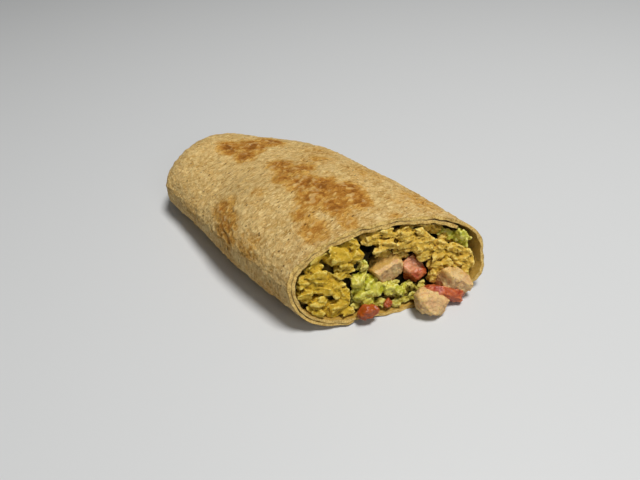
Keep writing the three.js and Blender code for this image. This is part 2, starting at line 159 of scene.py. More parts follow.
def outline(turn, along, wide, high):
    near, far, tall = (along_roll(v, along) for v in (NEAR_EDGE, FAR_EDGE, HEIGHT))
    side, rise = np.cos(turn), np.sin(turn)
    top = np.where(side > 0, along_roll(FAR_ROUNDNESS, along), NEAR_ROUNDNESS)
    power = 2 / np.where(rise > 0, top, BASE_ROUNDNESS)
    middle = WIDEST_AT * tall
    half_height = np.where(rise > 0, tall - middle, middle) * high
    y = (near + far) / 2 + (far - near) / 2 * wide * np.sign(side) * np.abs(side) ** power
    z = middle + half_height * np.sign(rise) * np.abs(rise) ** power
    return y, z


def sheet_depths(turns, along):
    """Depth of the sheet's outer and inner faces under the roll's outline."""
    turn = np.where(turns >= 360, turns - 360, turns)
    step = (SHEET + LAP_GAP) * (1 - smooth(turns, FREE_EDGE, FREE_EDGE + FREE_EDGE_BLEND))
    step = step * smooth(along * ROLL_LENGTH, 0, LAP_START)
    gap = LAP_GAP + LAP_FLARE * (1 - smooth(turn, INNER_END, INNER_END + LAP_FLARE_TURN))
    gap = gap - LAP_GAP * 0.9 * smooth(along, LAPS_PRESSED_FROM, 1)
    parted = LAPS_PARTED * np.sin(np.radians(turn) + LAPS_PARTED_START)
    parted = parted + LAPS_UNEVEN * np.sin(turn / LAPS_UNEVEN_PACE)
    gap = gap + np.clip(parted, 0, 1) * smooth(along, LAPS_PARTED_FROM, 1)
    outer = np.where(turns < FREE_EDGE, SHEET + gap, step)
    feather = smooth(turns, 360 + FREE_EDGE - EDGE_FEATHER, 360 + FREE_EDGE)
    return outer + (SHEET - EDGE_THICK) * feather, outer + SHEET


def carry_to_roll(turns, part, through):
    """Places of the sheet's points on the roll, in millimetres, with the foot of the cut at 0, 0."""
    turn = np.radians(turns)
    reach, wide, high, turned = end_profile(np.clip(part, -1, 1))
    reach = reach + np.clip(part - 1, 0, None) * (ROLL_LENGTH - CAP_LENGTH)
    along = reach / ROLL_LENGTH
    step = 0.02
    y, z = outline(turn, along, wide, high)
    y0, z0 = outline(turn - step, along, wide, high)
    y1, z1 = outline(turn + step, along, wide, high)
    chord = np.hypot(y1 - y0, z1 - z0)
    outer, inner = sheet_depths(turns, along)
    at_cut = smooth(along, AT_CUT_FROM, 1)
    uneven = CUT_UNEVEN * waves(UNEVEN_WAVES, y, z) - CUT_THINNING
    depth = outer + (inner - outer) * through * (1 + uneven * at_cut)
    off_base = np.clip(0.6 + np.sin(turn), 0, 1)
    ripple = RIPPLE * waves(RIPPLES, turn, along) * off_base * np.sin(np.pi * along)
    inward = depth * np.cos(turned) + ripple
    y = y - (z1 - z0) / chord * inward
    z = z + (y1 - y0) / chord * inward
    z = np.maximum(z - BASE_FLATTENING, depth)
    end = -ROLL_LENGTH + END_SKEW * y
    cut = CUT_SKEW * y + CUT_LEAN * z + CUT_WAVE * waves(CUT_WAVES, y, z) * at_cut
    x = end + (cut - end) * along + depth * np.sin(turned)
    return np.stack([x, y, z], -1)


def sheet_mesh():
    """The closed sheet: an outer and an inner grid, joined at the cut, the tuck and both edges."""
    under = np.linspace(INNER_END, FREE_EDGE, UNDER_COLUMNS, endpoint=False)
    skin = np.linspace(FREE_EDGE, 360 + FREE_EDGE, SKIN_COLUMNS)
    turns = np.concatenate([under, skin])
    rows = np.concatenate([np.linspace(-1, 1, END_ROWS), 1 + np.linspace(0, 1, BODY_ROWS)[1:]])
    shared = len(rows) - SHARED_ROWS
    inner_rows = [*range(0, shared, INNER_ROW_STEP), *range(shared, len(rows))]

    def grid(row_values, through):
        part, turn = np.meshgrid(row_values, turns, indexing="ij")
        lowest = np.where(turn < UNTUCKED_TURN, UNTUCKED_FROM, -1)
        end = np.clip((part + 1) / 2, 0, 1)
        part = np.where(part < 1, lowest + (1 - lowest) * end, part)
        return turn, part, np.full_like(part, through)

    layers = [grid(rows, 0), grid(rows[inner_rows], 1)]
    layers += [grid(rows[-1:], level) for level in CUT_LEVELS]
    turn, part, through = (np.concatenate([layer[i].ravel() for layer in layers]) for i in range(3))
    across, count, fewer = len(turns), len(rows), len(inner_rows)
    outer = np.arange(count * across).reshape(count, across)
    inner = outer.size + np.arange(fewer * across).reshape(fewer, across)
    edge = outer.size + inner.size + np.arange(len(CUT_LEVELS) * across).reshape(-1, across)
    cut = np.vstack([outer[-1], edge, inner[-1]])
    tuck = np.vstack([inner[0], outer[0]])
    faces = []
    for face_grid in (outer, inner[::-1], cut, tuck):
        a, b = face_grid[:-1, :-1], face_grid[:-1, 1:]
        c, d = face_grid[1:, 1:], face_grid[1:, :-1]
        faces += np.stack([a, b, c, d], -1).reshape(-1, 4).tolist()
    for low in range(fewer - 1):
        high = low + 1
        fine = np.arange(inner_rows[low], inner_rows[high] + 1)
        for side, order in ((0, 1), (-1, -1)):
            lip = edge[:, side] if high == fewer - 1 else edge[:0, side]
            ring = np.concatenate([outer[fine, side], lip, inner[[high, low], side]])
            faces.append(ring[::order].tolist())
    return carry_to_roll(turn, part, through), faces, turn, part, through


def shade_smooth(piece):
    piece.data.polygons.foreach_set("use_smooth", [True] * len(piece.data.polygons))


def add_piece(name, points_mm, faces):
    """A mesh object at the origin, from points in millimetres beside the foot of the cut."""
    mesh = bpy.data.meshes.new(name)
    mesh.from_pydata(((np.asarray(points_mm, float) + SHIFT) * MM).tolist(), [], faces)
    mesh.update()
    piece = bpy.data.objects.new(name, mesh)
    shade_smooth(piece)
    bpy.context.scene.collection.objects.link(piece)
    return piece


def mark(piece, name, values):
    """Keep a number for each point of a piece, for its nodes and its material to read."""
    attribute = piece.data.attributes.new(name, "FLOAT", "POINT")
    attribute.data.foreach_set("value", np.asarray(values, np.float32))


def finish_modifiers(piece):
    """Turn what a piece's modifiers make into its own plain mesh."""
    bpy.context.view_layer.update()
    depsgraph = bpy.context.evaluated_depsgraph_get()
    made = bpy.data.meshes.new_from_object(
        piece.evaluated_get(depsgraph), preserve_all_data_layers=True, depsgraph=depsgraph)
    piece.modifiers.clear()
    piece.data = made


def run_nodes(piece, tree, material, sizes):
    """Run a geometry tree on a piece, its inputs set by their identifiers."""
    modifier = piece.modifiers.new(tree.name, "NODES")
    modifier.node_group = tree
    given = {**sizes, "Material": material}
    for socket in tree.interface.items_tree:
        if socket.name in given:
            modifier[socket.identifier] = given[socket.name]
    finish_modifiers(piece)


def stand_for(piece, node):
    """A piece takes the place of its solid and moves with the part."""
    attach(piece, "root")
    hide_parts(node)


def add_node(tree, kind, sockets=None, **settings):
    """A node with its settings, and each socket set to a number or fed by another node's value."""
    node = tree.nodes.new(kind)
    for key, value in settings.items():
        setattr(node, key, value)
    for key, value in (sockets or {}).items():
        if isinstance(value, Value):
            tree.links.new(value.socket, node.inputs[key])
        else:
            node.inputs[key].default_value = value
    return node


def value_of(tree, kind, sockets=None, output=0, **settings):
    return Value(add_node(tree, kind, sockets, **settings), output)


class Value:
    """What a node gives. It adds, subtracts, multiplies and divides like a number, by math nodes."""

    def __init__(self, node, output=0):
        self.socket = node.outputs[output]
        self.tree = node.id_data

    def math(self, operation, other, swapped=False):
        first, second = (other, self) if swapped else (self, other)
        return value_of(self.tree, "ShaderNodeMath", {0: first, 1: second}, operation=operation)

    def __add__(self, other):
        return self.math("ADD", other)

    def __sub__(self, other):
        return self.math("SUBTRACT", other)

    def __rsub__(self, other):
        return self.math("SUBTRACT", other, swapped=True)

    def __mul__(self, other):
        return self.math("MULTIPLY", other)

    def __rtruediv__(self, other):
        return self.math("DIVIDE", other, swapped=True)

    def vector(self, operation, other, output=0):
        sockets = {0: self, "Scale" if operation == "SCALE" else 1: other}
        return value_of(self.tree, "ShaderNodeVectorMath", sockets, output, operation=operation)

    def ramp(self, low, high):
        """Nought below low, one above high, and a smooth rise between."""
        sockets = {0: self, 1: low, 2: high, 3: 0.0, 4: 1.0}
        return value_of(self.tree, "ShaderNodeMapRange", sockets, interpolation_type="SMOOTHSTEP")


def noise_of(place, scale, detail, rough, distortion=0.0):
    sockets = {"Vector": place, "Scale": scale, "Detail": detail, "Roughness": rough,
               "Distortion": distortion}
    return value_of(place.tree, "ShaderNodeTexNoise", sockets, noise_dimensions="3D")


def mix(amount, first, second, blend="MIX"):
    sockets = {0: amount, 6: first, 7: second}
    return value_of(amount.tree, "ShaderNodeMix", sockets, 2, data_type="RGBA", blend_type=blend)


def layered(base, *layers):
    """A colour with others laid over it in turn, each by its own amount."""
    for amount, over in layers:
        base = mix(amount, base, over)
    return base


def colour(red, green, blue):
    """A screen colour, 0 to 255, as the light it stands for."""
    def light(level):
        level = level / 255
        return level / 12.92 if level <= 0.04045 else ((level + 0.055) / 1.055) ** 2.4
    return (light(red), light(green), light(blue), 1)


def attribute_of(tree, name, output="Fac"):
    return value_of(tree, "ShaderNodeAttribute", None, output, attribute_name=name,
                    attribute_type="GEOMETRY")


def stored(tree, name, data_type="FLOAT"):
    return value_of(tree, "GeometryNodeInputNamedAttribute", {"Name": name}, data_type=data_type)


def store(geometry, name, value):
    sockets = {"Geometry": geometry, "Name": name, "Value": value}
    return value_of(geometry.tree, "GeometryNodeStoreNamedAttribute", sockets, data_type="FLOAT",
                    domain="POINT")


def push_out(geometry, rise):
    """Move a surface out along its normals, by millimetres."""
    offset = value_of(geometry.tree, "GeometryNodeInputNormal").vector("SCALE", rise * MM)
    return value_of(geometry.tree, "GeometryNodeSetPosition", {"Geometry": geometry, "Offset": offset})


def new_tree(name, kind, inputs, outputs):
    """A node group with named sockets of each type, and what its inputs give."""
    tree = bpy.data.node_groups.new(name, kind)
    for in_out, sockets in (("INPUT", inputs), ("OUTPUT", outputs)):
        for socket_type, names in sockets.items():
            for socket_name in names:
                tree.interface.new_socket(socket_name, in_out=in_out, socket_type="NodeSocket" + socket_type)
    entry = tree.nodes.new("NodeGroupInput")
    return tree, {socket.name: Value(entry, socket.name) for socket in entry.outputs if socket.name}


def close_tree(tree, results):
    exit_node = tree.nodes.new("NodeGroupOutput")
    for name, value in results.items():
        tree.links.new(value.socket, exit_node.inputs[name])
    return tree


def new_geometry_tree(name, sizes):
    inputs = {"Geometry": ["Geometry"], "Float": sizes, "Material": ["Material"]}
    return new_tree(name, "GeometryNodeTree", inputs, {"Geometry": ["Geometry"]})


def close_geometry_tree(tree, given, geometry):
    realized = value_of(tree, "GeometryNodeRealizeInstances", {0: geometry})
    sockets = {"Geometry": realized, "Material": given["Material"]}
    return close_tree(tree, {"Geometry": value_of(tree, "GeometryNodeSetMaterial", sockets)})


def new_material(name, roughness, subsurface, scatter, specular):
    material = bpy.data.materials.new(name)
    material.use_nodes = True
    settings = {"Roughness": roughness, "Specular IOR Level": specular, "Subsurface Weight": subsurface,
                "Subsurface Radius": scatter, "Subsurface Scale": SCATTER_DEPTH * MM}
    for socket, value in settings.items():
        material.node_tree.nodes["Principled BSDF"].inputs[socket].default_value = value
    return material


def coat(material, base, height, depth):
    """Give a material its colour, and a bump so many millimetres deep."""
    tree = material.node_tree
    shader = tree.nodes["Principled BSDF"]
    normal = value_of(tree, "ShaderNodeBump", {"Height": height, "Distance": depth * MM, "Strength": 1.0})
    tree.links.new(base.socket, shader.inputs["Base Color"])
    tree.links.new(normal.socket, shader.inputs["Normal"])
    return material


def baked_relief():
    """Bubbles, blisters and fine grain over the sheet, and a torn edge where it is cut."""
    tree, given = new_geometry_tree("baked_relief", [
        "Bubble Size", "Bubble Height", "Grain Size", "Grain Height", "Blister Size", "Blister Height",
        "Cut Tear"])
    place = stored(tree, "sheet_place", "FLOAT_VECTOR")
    bubbles = noise_of(place, 1 / given["Bubble Size"], 3.0, 0.55, 0.4).ramp(0.32, 0.72)
    blisters = noise_of(place, 1 / given["Blister Size"], 2.0, 0.5, 0.6).ramp(0.4, 0.66)
    grain = noise_of(place, 1 / given["Grain Size"], 2.0, 0.6) - 0.5
    rise = (bubbles - 0.45) * given["Bubble Height"] + grain * given["Grain Height"]
    rise = rise + (blisters - 0.3) * (stored(tree, "toast_and_shade") * given["Blister Height"])
    tear = (noise_of(place, 0.9, 3.0, 0.7) - 0.5) * (stored(tree, "cut") * given["Cut Tear"])
    kept = store(given["Geometry"], "rise", blisters)
    return close_geometry_tree(tree, given, push_out(kept, rise * stored(tree, "skin") + tear))


def fleck_group():
    """Flecks of bran: a mask of small scattered marks, some left out, in a pattern of its own scale."""
    group, given = new_tree("bran_flecks", "ShaderNodeTree", {
        "Vector": ["Vector"], "Float": ["Scale", "Size", "Share"]}, {"Float": ["Mask"]})
    sockets = {"Vector": given["Vector"], "Scale": given["Scale"], "Randomness": 1.0}
    cells = add_node(group, "ShaderNodeTexVoronoi", sockets)
    near = Value(cells, "Distance").math("LESS_THAN", given["Size"])
    chance = value_of(group, "ShaderNodeSeparateColor", {0: Value(cells, "Color")})
    return close_tree(group, {"Mask": near * chance.math("LESS_THAN", given["Share"])})


BRAN_FLECKS = fleck_group()


def flecks(place, scale, size, share):
    sockets = {"Vector": place, "Scale": scale, "Size": size, "Share": share}
    return value_of(place.tree, "ShaderNodeGroup", sockets, node_tree=BRAN_FLECKS)


TAN = colour(218, 176, 104)
TAN_PALE = colour(248, 220, 154)
TAN_DULL = colour(200, 158, 86)
BRAN = colour(88, 58, 18)
PIT = colour(142, 98, 36)
GOLD = colour(238, 214, 160)
BROWN = colour(176, 114, 36)
CHAR = colour(128, 74, 16)
CRUMB = colour(224, 192, 116)
CRUMB_DULL = colour(184, 146, 74)
SOAKED = colour(184, 144, 48)

# Toasted patches and painted shade: place on the roll from the foot of the cut, how far each spreads, how
# dark it is.
# The weak, broad spots low on the near side are painted shade; the weak ones along the far side are partly
# browning and partly painted shade.
TOAST_AND_SHADE_SPOTS = [
    (-119, 41, 33, 9, 1.1), (-112, 52, 32, 10, 1.2), (-112, 65, 30, 9, 1.15), (-104, 42, 33, 8, 1.05),
    (-77, 47, 37, 9, 1.05), (-66, 44, 40, 9, 0.95), (-60, 38, 41, 9, 0.85), (-62, 50, 41, 9, 0.95),
    (-47, 40, 43, 11, 1.05), (-36, 45, 44, 11, 1.15), (-27, 52, 43, 9, 1.15), (-19, 50, 43, 8, 1.1),
    (-23, 40, 43, 9, 1.0), (-34, 34, 43, 9, 0.9), (-30, 25, 41, 8, 0.7), (-18, 23, 39, 10, 0.72),
    (-10, 36, 42, 7, 0.7), (-70, 8, 30, 10, 0.8), (-60, 2, 29, 10, 0.85), (-54, -1, 26, 8, 0.7),
    (-60, 21, 40, 7, 0.5), (-40, 76, 38, 24, 0.46), (-82, 76, 34, 20, 0.45), (-6, 78, 38, 20, 0.5),
    (-95, 2, 16, 18, 0.42), (-60, 0, 12, 20, 0.45), (-25, 0, 12, 20, 0.45), (-8, 66, 42, 12, 0.4),
    (-68, 64, 38, 15, 0.55), (-39, 0, 29, 13, 0.5), (1, 55, 42, 7, 0.5),
]


def tortilla_material():
    """Toasted wholemeal flatbread: tan, freckled with bran, browned on its bubbles, with painted shade in
    some brown spots and painted highlight on the blister tops, pale where cut.
    """
    material = new_material("tortilla_bread", 0.68, 0.08, (1, 0.6, 0.3), 0.18)
    tree = material.node_tree
    place = attribute_of(tree, "sheet_place", "Vector")
    rise, toast_and_shade, cut, soaked = (attribute_of(tree, name) for name in ("rise", "toast_and_shade", "cut", "soaked"))
    stretched = value_of(tree, "ShaderNodeMapping", {"Vector": place, "Scale": (1, 0.52, 1)})
    broad = noise_of(place, 0.075, 3.0, 0.6).ramp(0.36, 0.64)
    middling = noise_of(stretched, 0.34, 4.0, 0.62).ramp(0.36, 0.64)
    fine = noise_of(stretched, 0.85, 4.0, 0.7, 0.8)
    dust = noise_of(stretched, 2.4, 3.0, 0.7, 0.3)
    small = flecks(stretched, 0.85, 0.2, 0.3)
    large = flecks(stretched, 0.42, 0.15, 0.4)
    base = layered(
        mix(broad, TAN, TAN_DULL), (middling * 0.5, TAN_PALE), (fine.ramp(0.49, 0.37) * 0.9, TAN_PALE),
        (fine.ramp(0.53, 0.66) * 0.6, PIT), (dust.ramp(0.56, 0.7) * 0.35, PIT), (small * 0.5, BRAN),
        (large * 0.75, BRAN))
    blotch = noise_of(place, 0.26, 4.0, 0.62, 0.8).ramp(0.34, 0.62)
    mottle = blotch * 0.5 + fine * 1.1 + rise * -0.3
    # Browning of the toasted patches, and painted shade where the weak spots lie.
    browning_and_shade = (mottle + toast_and_shade * 0.75) * toast_and_shade.ramp(0.0, 0.8)
    # Painted highlight: pale tan on the tops of the blisters in the toasted patches.
    blister_top_highlight = rise.ramp(0.55, 0.95) * toast_and_shade.ramp(0.2, 0.7)
    stray = noise_of(place, 0.3, 5.0, 0.7, 1.0).ramp(0.58, 0.7)
    crumb = mix(noise_of(place, 1.1, 3.0, 0.6).ramp(0.42, 0.62), CRUMB, CRUMB_DULL)
    base = layered(
        mix(browning_and_shade.ramp(0.2, 0.9), base, GOLD, "MULTIPLY"), (browning_and_shade.ramp(0.85, 1.5) * 0.85, BROWN),
        (browning_and_shade.ramp(1.42, 1.8) * 0.75, CHAR), (blister_top_highlight * 0.3, TAN_PALE), (stray * 0.45, GOLD), (cut, crumb),
        (soaked * 0.8, SOAKED))
    grain = fine * -1.8 - dust * 0.5 - large * 0.3
    return coat(material, base, grain * (1.0 - cut), 0.7)


points, faces, turns, parts, throughs = sheet_mesh()
SHIFT = np.array(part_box("tortilla")[0]) / MM - points.min(0)
SHIFT[2] = 0
tortilla = add_piece("tortilla_sheet", points, faces)
flat_place = np.stack([points[:, 0], np.radians(turns) * MEAN_RADIUS, throughs * SHEET], -1)
place_attribute = tortilla.data.attributes.new("sheet_place", "FLOAT_VECTOR", "POINT")
place_attribute.data.foreach_set("vector", flat_place.astype(np.float32).ravel())
toast_and_shade = np.zeros(len(points))
for x, y, z, spread, strength in TOAST_AND_SHADE_SPOTS:
    away = np.linalg.norm((points - (x, y, z)) * TOAST_AND_SHADE_SHAPE, axis=1)
    toast_and_shade = np.maximum(toast_and_shade, strength * np.exp(-(away / spread) ** 2))
on_skin = (throughs < 0.01) & (turns > FREE_EDGE)
near_cut = np.clip((2 - parts) * RELIEF_FADE, INNER_RELIEF, 1)
mark(tortilla, "toast_and_shade", toast_and_shade * on_skin)
mark(tortilla, "skin", np.where(on_skin, 1, INNER_RELIEF) * near_cut)
mark(tortilla, "cut", (parts > 1.999) & (throughs > 0.01) & (throughs < 0.99))
mark(tortilla, "soaked", throughs > 0.99)
run_nodes(tortilla, baked_relief(), tortilla_material(), {
    "Bubble Size": 6.0, "Bubble Height": 0.7, "Grain Size": 2.4, "Grain Height": 0.8, "Blister Size": 3.2,
    "Blister Height": 0.8, "Cut Tear": 0.4})
tortilla.data.set_sharp_from_angle(angle=math.radians(SHARP_FROM))
stand_for(tortilla, "tortilla")

# ---------------------------------------------------------------------------------------------
# The sauced shreds: chicken torn into flaky folds and turned in a thick mustard-yellow sauce. They
# fill the near side of the roll as one mass, with ragged folds, pale ridges and dark gaps at the cut.
# The pale of their ridges is painted highlight, and their dark gaps are darkened further by painted shade.
# ---------------------------------------------------------------------------------------------
ACROSS = Vector((CUT_SKEW, 1, 0)).normalized()
OUT = Vector((1, -CUT_SKEW, -CUT_LEAN)).normalized()
UP = OUT.cross(ACROSS)
CUT_AXES = Matrix((ACROSS, UP, OUT)).transposed()
PLIES = 3.6
MASS_DEPTH = 20
HALVES_OVERLAP = 1.5
TILT_SPREAD = 14
TURN_SPREAD = 20
# Painted shade: the colour laid into the folds, and over all that lies far behind the cut.
CREVICE_SHADE = (0.045, 0.018, 0.003, 1)
DEEP_SHADE = (0.012, 0.006, 0.002, 1)


def spot_on_cut(y, z, out=0):
    return Vector((CUT_SKEW * y + CUT_LEAN * z, y, z)) + OUT * out


def ball_points(splits):
    """Corners and faces of a round ball of radius one."""
    ball = bmesh.new()
    bmesh.ops.create_icosphere(ball, subdivisions=splits, radius=1)
    corners = np.array([v.co for v in ball.verts])
    sides = [[v.index for v in f.verts] for f in ball.faces]
    ball.free()
    return corners, sides


ROUND_BALL = ball_points(3)


def block_reach(corners, square):
    """How far out each corner of a ball goes when the ball is pulled towards a block."""
    return ((np.abs(corners) ** square).sum(1) ** (-1 / square))[:, None]


def seeded_draws(seed):
    """Draws from nought to one, the same on every run."""
    state = seed
    while True:
        state = (state * 1664525 + 1013904223) % 4294967296
        yield state / 4294967296


def drawn_heading(draw):
    heading = np.array([next(draw) - 0.5 for _ in range(3)])
    return heading / np.linalg.norm(heading)


def knife_cuts(made, cuts):
    """Flatten a lump against planes, each given as a heading and how far out it passes, in mm."""
    for heading, out in cuts:
        heading = np.array(heading, float)
        heading /= np.linalg.norm(heading)
        made = made - np.clip(made @ heading - out, 0, None)[:, None] * heading
    return made


def facets(made, count, seed, low, high):
    """Flatten a lump against seeded planes on every side, so that it has the faces of a torn chunk."""
    draw = seeded_draws(seed * 31 + 7)
    for _ in range(count):
        heading = drawn_heading(draw)
        out = (made @ heading).max() * (low + (high - low) * next(draw))
        made = knife_cuts(made, [(heading, out)])
    return made


def torn_piece(rng, long, wide, thick, square, bend, ragged):
    """One torn piece, along x: a bent, tapering slab with ragged edges and torn faces."""
    corners, sides = ROUND_BALL
    x, y, z = (corners * block_reach(corners, square)).T
    phase = [rng.uniform(0, 6.3) for _ in range(3)]
    pace = [rng.uniform(2, 4.5) for _ in range(3)]
    dents = np.sin(pace[0] * x + phase[0] + 2 * y) + np.sin(pace[1] * y + phase[1] - 2 * z)
    dents = 1 + ragged / 2 * dents
    taper = 1 - rng.uniform(0, 0.4) * (x + 1) / 2
    made = np.stack([x * dents * long, y * dents * taper * wide, z * dents * thick], -1) / 2
    made = facets(made, 7, rng.randrange(1000), 0.55, 0.88)
    made[:, 2] += bend * long * (x ** 2 - 0.4) * rng.choice((-1, 1)) * 0.3
    made[:, 2] += bend * 0.2 * wide * np.sin(pace[2] * y * 1.3 + phase[2])
    return made, sides


def stand_on_cut(made, y, z, out, tilt, lean=0.0, turn=0.0):
    """Set a piece on the cut: tilted in its plane, then leaned and turned out of it, in degrees."""
    rotation = Euler((math.radians(lean), math.radians(turn), math.radians(tilt)), "XYZ").to_matrix()
    return made @ np.array((CUT_AXES @ rotation).transposed()) + np.array(spot_on_cut(y, z, out))


def within_sheet(y, z, margin):
    """Whether a spot on the cut lies inside the sheet, with a margin to spare."""
    centre, middle = (NEAR_EDGE[-1] + FAR_EDGE[-1]) / 2, WIDEST_AT * HEIGHT[-1]
    half, low, high = (v - PLIES - margin for v in (centre, middle, HEIGHT[-1] - middle))
    across, rise = abs(y - centre) / half, z + BASE_FLATTENING - middle
    up, power = (-rise / low, BASE_ROUNDNESS)
    if rise > 0:
        up, power = (rise / high, FAR_ROUNDNESS[-1] if y > centre else NEAR_ROUNDNESS)
    return across ** power + up ** power < 1


def torn_over(folds, seed, each, spread, sizes, outs, leans, plump, bend):
    """Torn pieces round each fold: one as long as it is, the rest mostly smaller, at odd angles."""
    rng = random.Random(seed)
    torn = []
    for y, z, long, wide, tilt in folds:
        for step in range(each):
            share = rng.uniform(*sizes) if step else 1.0
            away = spread if step else 0
            spot = y + rng.uniform(-away, away), z + rng.uniform(-away, away)
            size = long * share, wide * share * rng.uniform(0.8, 1.1), wide * share * rng.uniform(*plump)
            made, sides = torn_piece(rng, *size, 3.2, bend, 0.3)
            made = stand_on_cut(
                made, *spot, rng.uniform(*outs), tilt + rng.uniform(-TILT_SPREAD, TILT_SPREAD),
                rng.uniform(*leans), rng.uniform(-TURN_SPREAD, TURN_SPREAD))
            if within_sheet(*spot, wide * share * 0.2):
                torn.append((made, sides))
    return torn


def join_meshes(parts):
    points, faces = [], []
    for made, sides in parts:
        base = sum(len(p) for p in points)
        points.append(made)
        faces += [[base + corner for corner in side] for side in sides]
    return np.concatenate(points), faces


def clip_solid(half, out, keep_inner):
    """Cut a closed bmesh at a depth beside the cut plane, and close it again."""
    place = (np.array(spot_on_cut(0, 0, out)) + SHIFT) * MM
    everything = half.verts[:] + half.edges[:] + half.faces[:]
    cutting = bmesh.ops.bisect_plane(half, geom=everything, plane_co=place, plane_no=OUT,
                                     clear_inner=not keep_inner, clear_outer=keep_inner)
    rim = [e for e in cutting["geom_cut"] if isinstance(e, bmesh.types.BMEdge)]
    bmesh.ops.contextual_create(half, geom=rim)
    bmesh.ops.holes_fill(half, edges=half.edges[:], sides=0)


def solid_halves(node, setback):
    """The merged CAD solid, parted some way behind the cut: points and faces of front and back."""
    halves = []
    for keep_front in (True, False):
        half = bmesh.new()
        half.from_mesh(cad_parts[node].data)
        bmesh.ops.remove_doubles(half, verts=half.verts, dist=0.01 * MM)
        if keep_front:
            clip_solid(half, -MASS_DEPTH, False)
            clip_solid(half, -setback, True)
        else:
            clip_solid(half, -MASS_DEPTH + HALVES_OVERLAP, True)
        bmesh.ops.triangulate(half, faces=half.faces[:])
        bmesh.ops.recalc_face_normals(half, faces=half.faces[:])
        corners = np.array([v.co for v in half.verts]) / MM - SHIFT
        halves.append((corners, [[v.index for v in f.verts] for f in half.faces]))
        half.free()
    return halves


def take_in(piece, other):
    """Join another piece's mesh to a piece, and remove the other."""
    joined = bmesh.new()
    joined.from_mesh(piece.data)
    joined.from_mesh(other.data)
    joined.to_mesh(piece.data)
    joined.free()
    bpy.data.objects.remove(other)


def meld(piece, voxel, rounds):
    """Melt a piece's overlapping parts into one skin, and soften it."""
    remesh = piece.modifiers.new("melded", "REMESH")
    remesh.mode = "VOXEL"
    remesh.voxel_size = voxel * MM
    soften = piece.modifiers.new("softened", "SMOOTH")
    soften.factor = 0.5
    soften.iterations = rounds
    finish_modifiers(piece)


def seeded_place(tree, seed):
    """Where a point is, in millimetres, shifted by a seed."""
    place = value_of(tree, "GeometryNodeInputPosition").vector("SCALE", 1 / MM)
    return place.vector("ADD", value_of(tree, "ShaderNodeCombineXYZ", {0: seed}))


def proud_of(tree, steps):
    """How far the surface stands out of its own smoothed shape, in millimetres."""
    position = value_of(tree, "GeometryNodeInputPosition")
    softened = add_node(tree, "GeometryNodeBlurAttribute", {"Iterations": steps}, data_type="FLOAT_VECTOR")
    tree.links.new(position.socket, [i for i in softened.inputs if i.enabled and i.name == "Value"][0])
    blurred = Value(softened, [o.enabled for o in softened.outputs].index(True))
    apart = position.vector("SUBTRACT", blurred)
    return apart.vector("DOT_PRODUCT", value_of(tree, "GeometryNodeInputNormal"), 1) * (1 / MM)


def torn_crags():
    """Crags, shreds and pits over a melted-together mass, with its ridges and folds marked."""
    tree, given = new_geometry_tree("torn_crags", [
        "Crag Size", "Crag Height", "Shred Size", "Shred Height", "Pit Size", "Pit Depth", "Layering",
        "Seed"])
    flat = {0: given["Layering"], 1: given["Layering"], 2: 1.0}
    place = seeded_place(tree, given["Seed"])
    place = place.vector("MULTIPLY", value_of(tree, "ShaderNodeCombineXYZ", flat))
    crags = noise_of(place, 1 / given["Crag Size"], 2.0, 0.5, 0.8) - 0.5
    shreds = noise_of(place, 1 / given["Shred Size"], 3.0, 0.6, 0.5) - 0.5
    pits = noise_of(place, 1 / given["Pit Size"], 2.0, 0.5).ramp(0.56, 0.72)
    rise = crags * given["Crag Height"] + shreds * given["Shred Height"] - pits * given["Pit Depth"]
    marked = store(push_out(given["Geometry"], rise), "ridge", proud_of(tree, 8))
    return close_geometry_tree(tree, given, store(marked, "fold", proud_of(tree, 60)))


TORN_CRAGS = torn_crags()


def melded_mass(name, node, torn, voxel, setback, sizes, material):
    """The node's own core with torn pieces on it, melted into one craggy mass near the cut."""
    front, back = solid_halves(node, setback)
    mass = add_piece(name, *join_meshes([front] + torn))
    meld(mass, voxel, 2)
    run_nodes(mass, TORN_CRAGS, material, sizes)
    rear = add_piece(name + "_rear", *back)
    rear.data.materials.append(material)
    take_in(mass, rear)
    shade_smooth(mass)
    # How far each point lies behind the cut, for the painted shade in its material.
    corners = np.array([v.co for v in mass.data.vertices]) / MM - SHIFT
    mark(mass, "behind", -corners @ np.array(OUT))
    stand_for(mass, node)


def object_place(tree):
    return value_of(tree, "ShaderNodeTexCoord", None, "Object").vector("SCALE", 1 / MM)


def flesh_group():
    """Sauced flesh: painted shade in its hollows, its folds and far behind the cut, painted highlight on its
    ridges, and blotches of thicker sauce.
    """
    group, given = new_tree("sauced_flesh", "ShaderNodeTree", {
        "Color": ["Hollow Shade", "Middle", "Pale", "Sauce"],
        "Float": ["Sauce Share", "Blotch Size", "Shade From", "Shade To"],
    }, {"Color": ["Color"], "Float": ["Roughness", "Height"]})
    place = object_place(group)
    ridge, fold, behind = (attribute_of(group, name) for name in ("ridge", "fold", "behind"))
    blotch = noise_of(place, 1 / given["Blotch Size"], 4.0, 0.6, 0.5)
    fine = noise_of(place, 1.1, 4.0, 0.65, 0.3)
    strands = noise_of(place, 2.4, 3.0, 0.6)
    lift = ridge + (fine - 0.5) * 0.8 + fold * 0.38
    share = 1.0 - given["Sauce Share"]
    sauce = blotch.ramp(share, share + 0.14)
    shade = behind.ramp(given["Shade From"], given["Shade To"])
    # Painted shade in the hollows and folds and far behind the cut, and painted highlight on the ridges.
    tone = layered(
        mix(lift.ramp(-0.6, -0.1), given["Hollow Shade"], given["Middle"]),
        (lift.ramp(0.03, 0.62) * 0.9, given["Pale"]), (sauce * 0.85, given["Sauce"]),
        (fold.ramp(-0.7, -2.2) * 0.75, CREVICE_SHADE), (shade * 0.93, DEEP_SHADE))
    return close_tree(group, {
        "Color": tone, "Roughness": 0.62 - sauce * 0.22, "Height": fine + strands * 0.4})


SAUCED_FLESH = flesh_group()


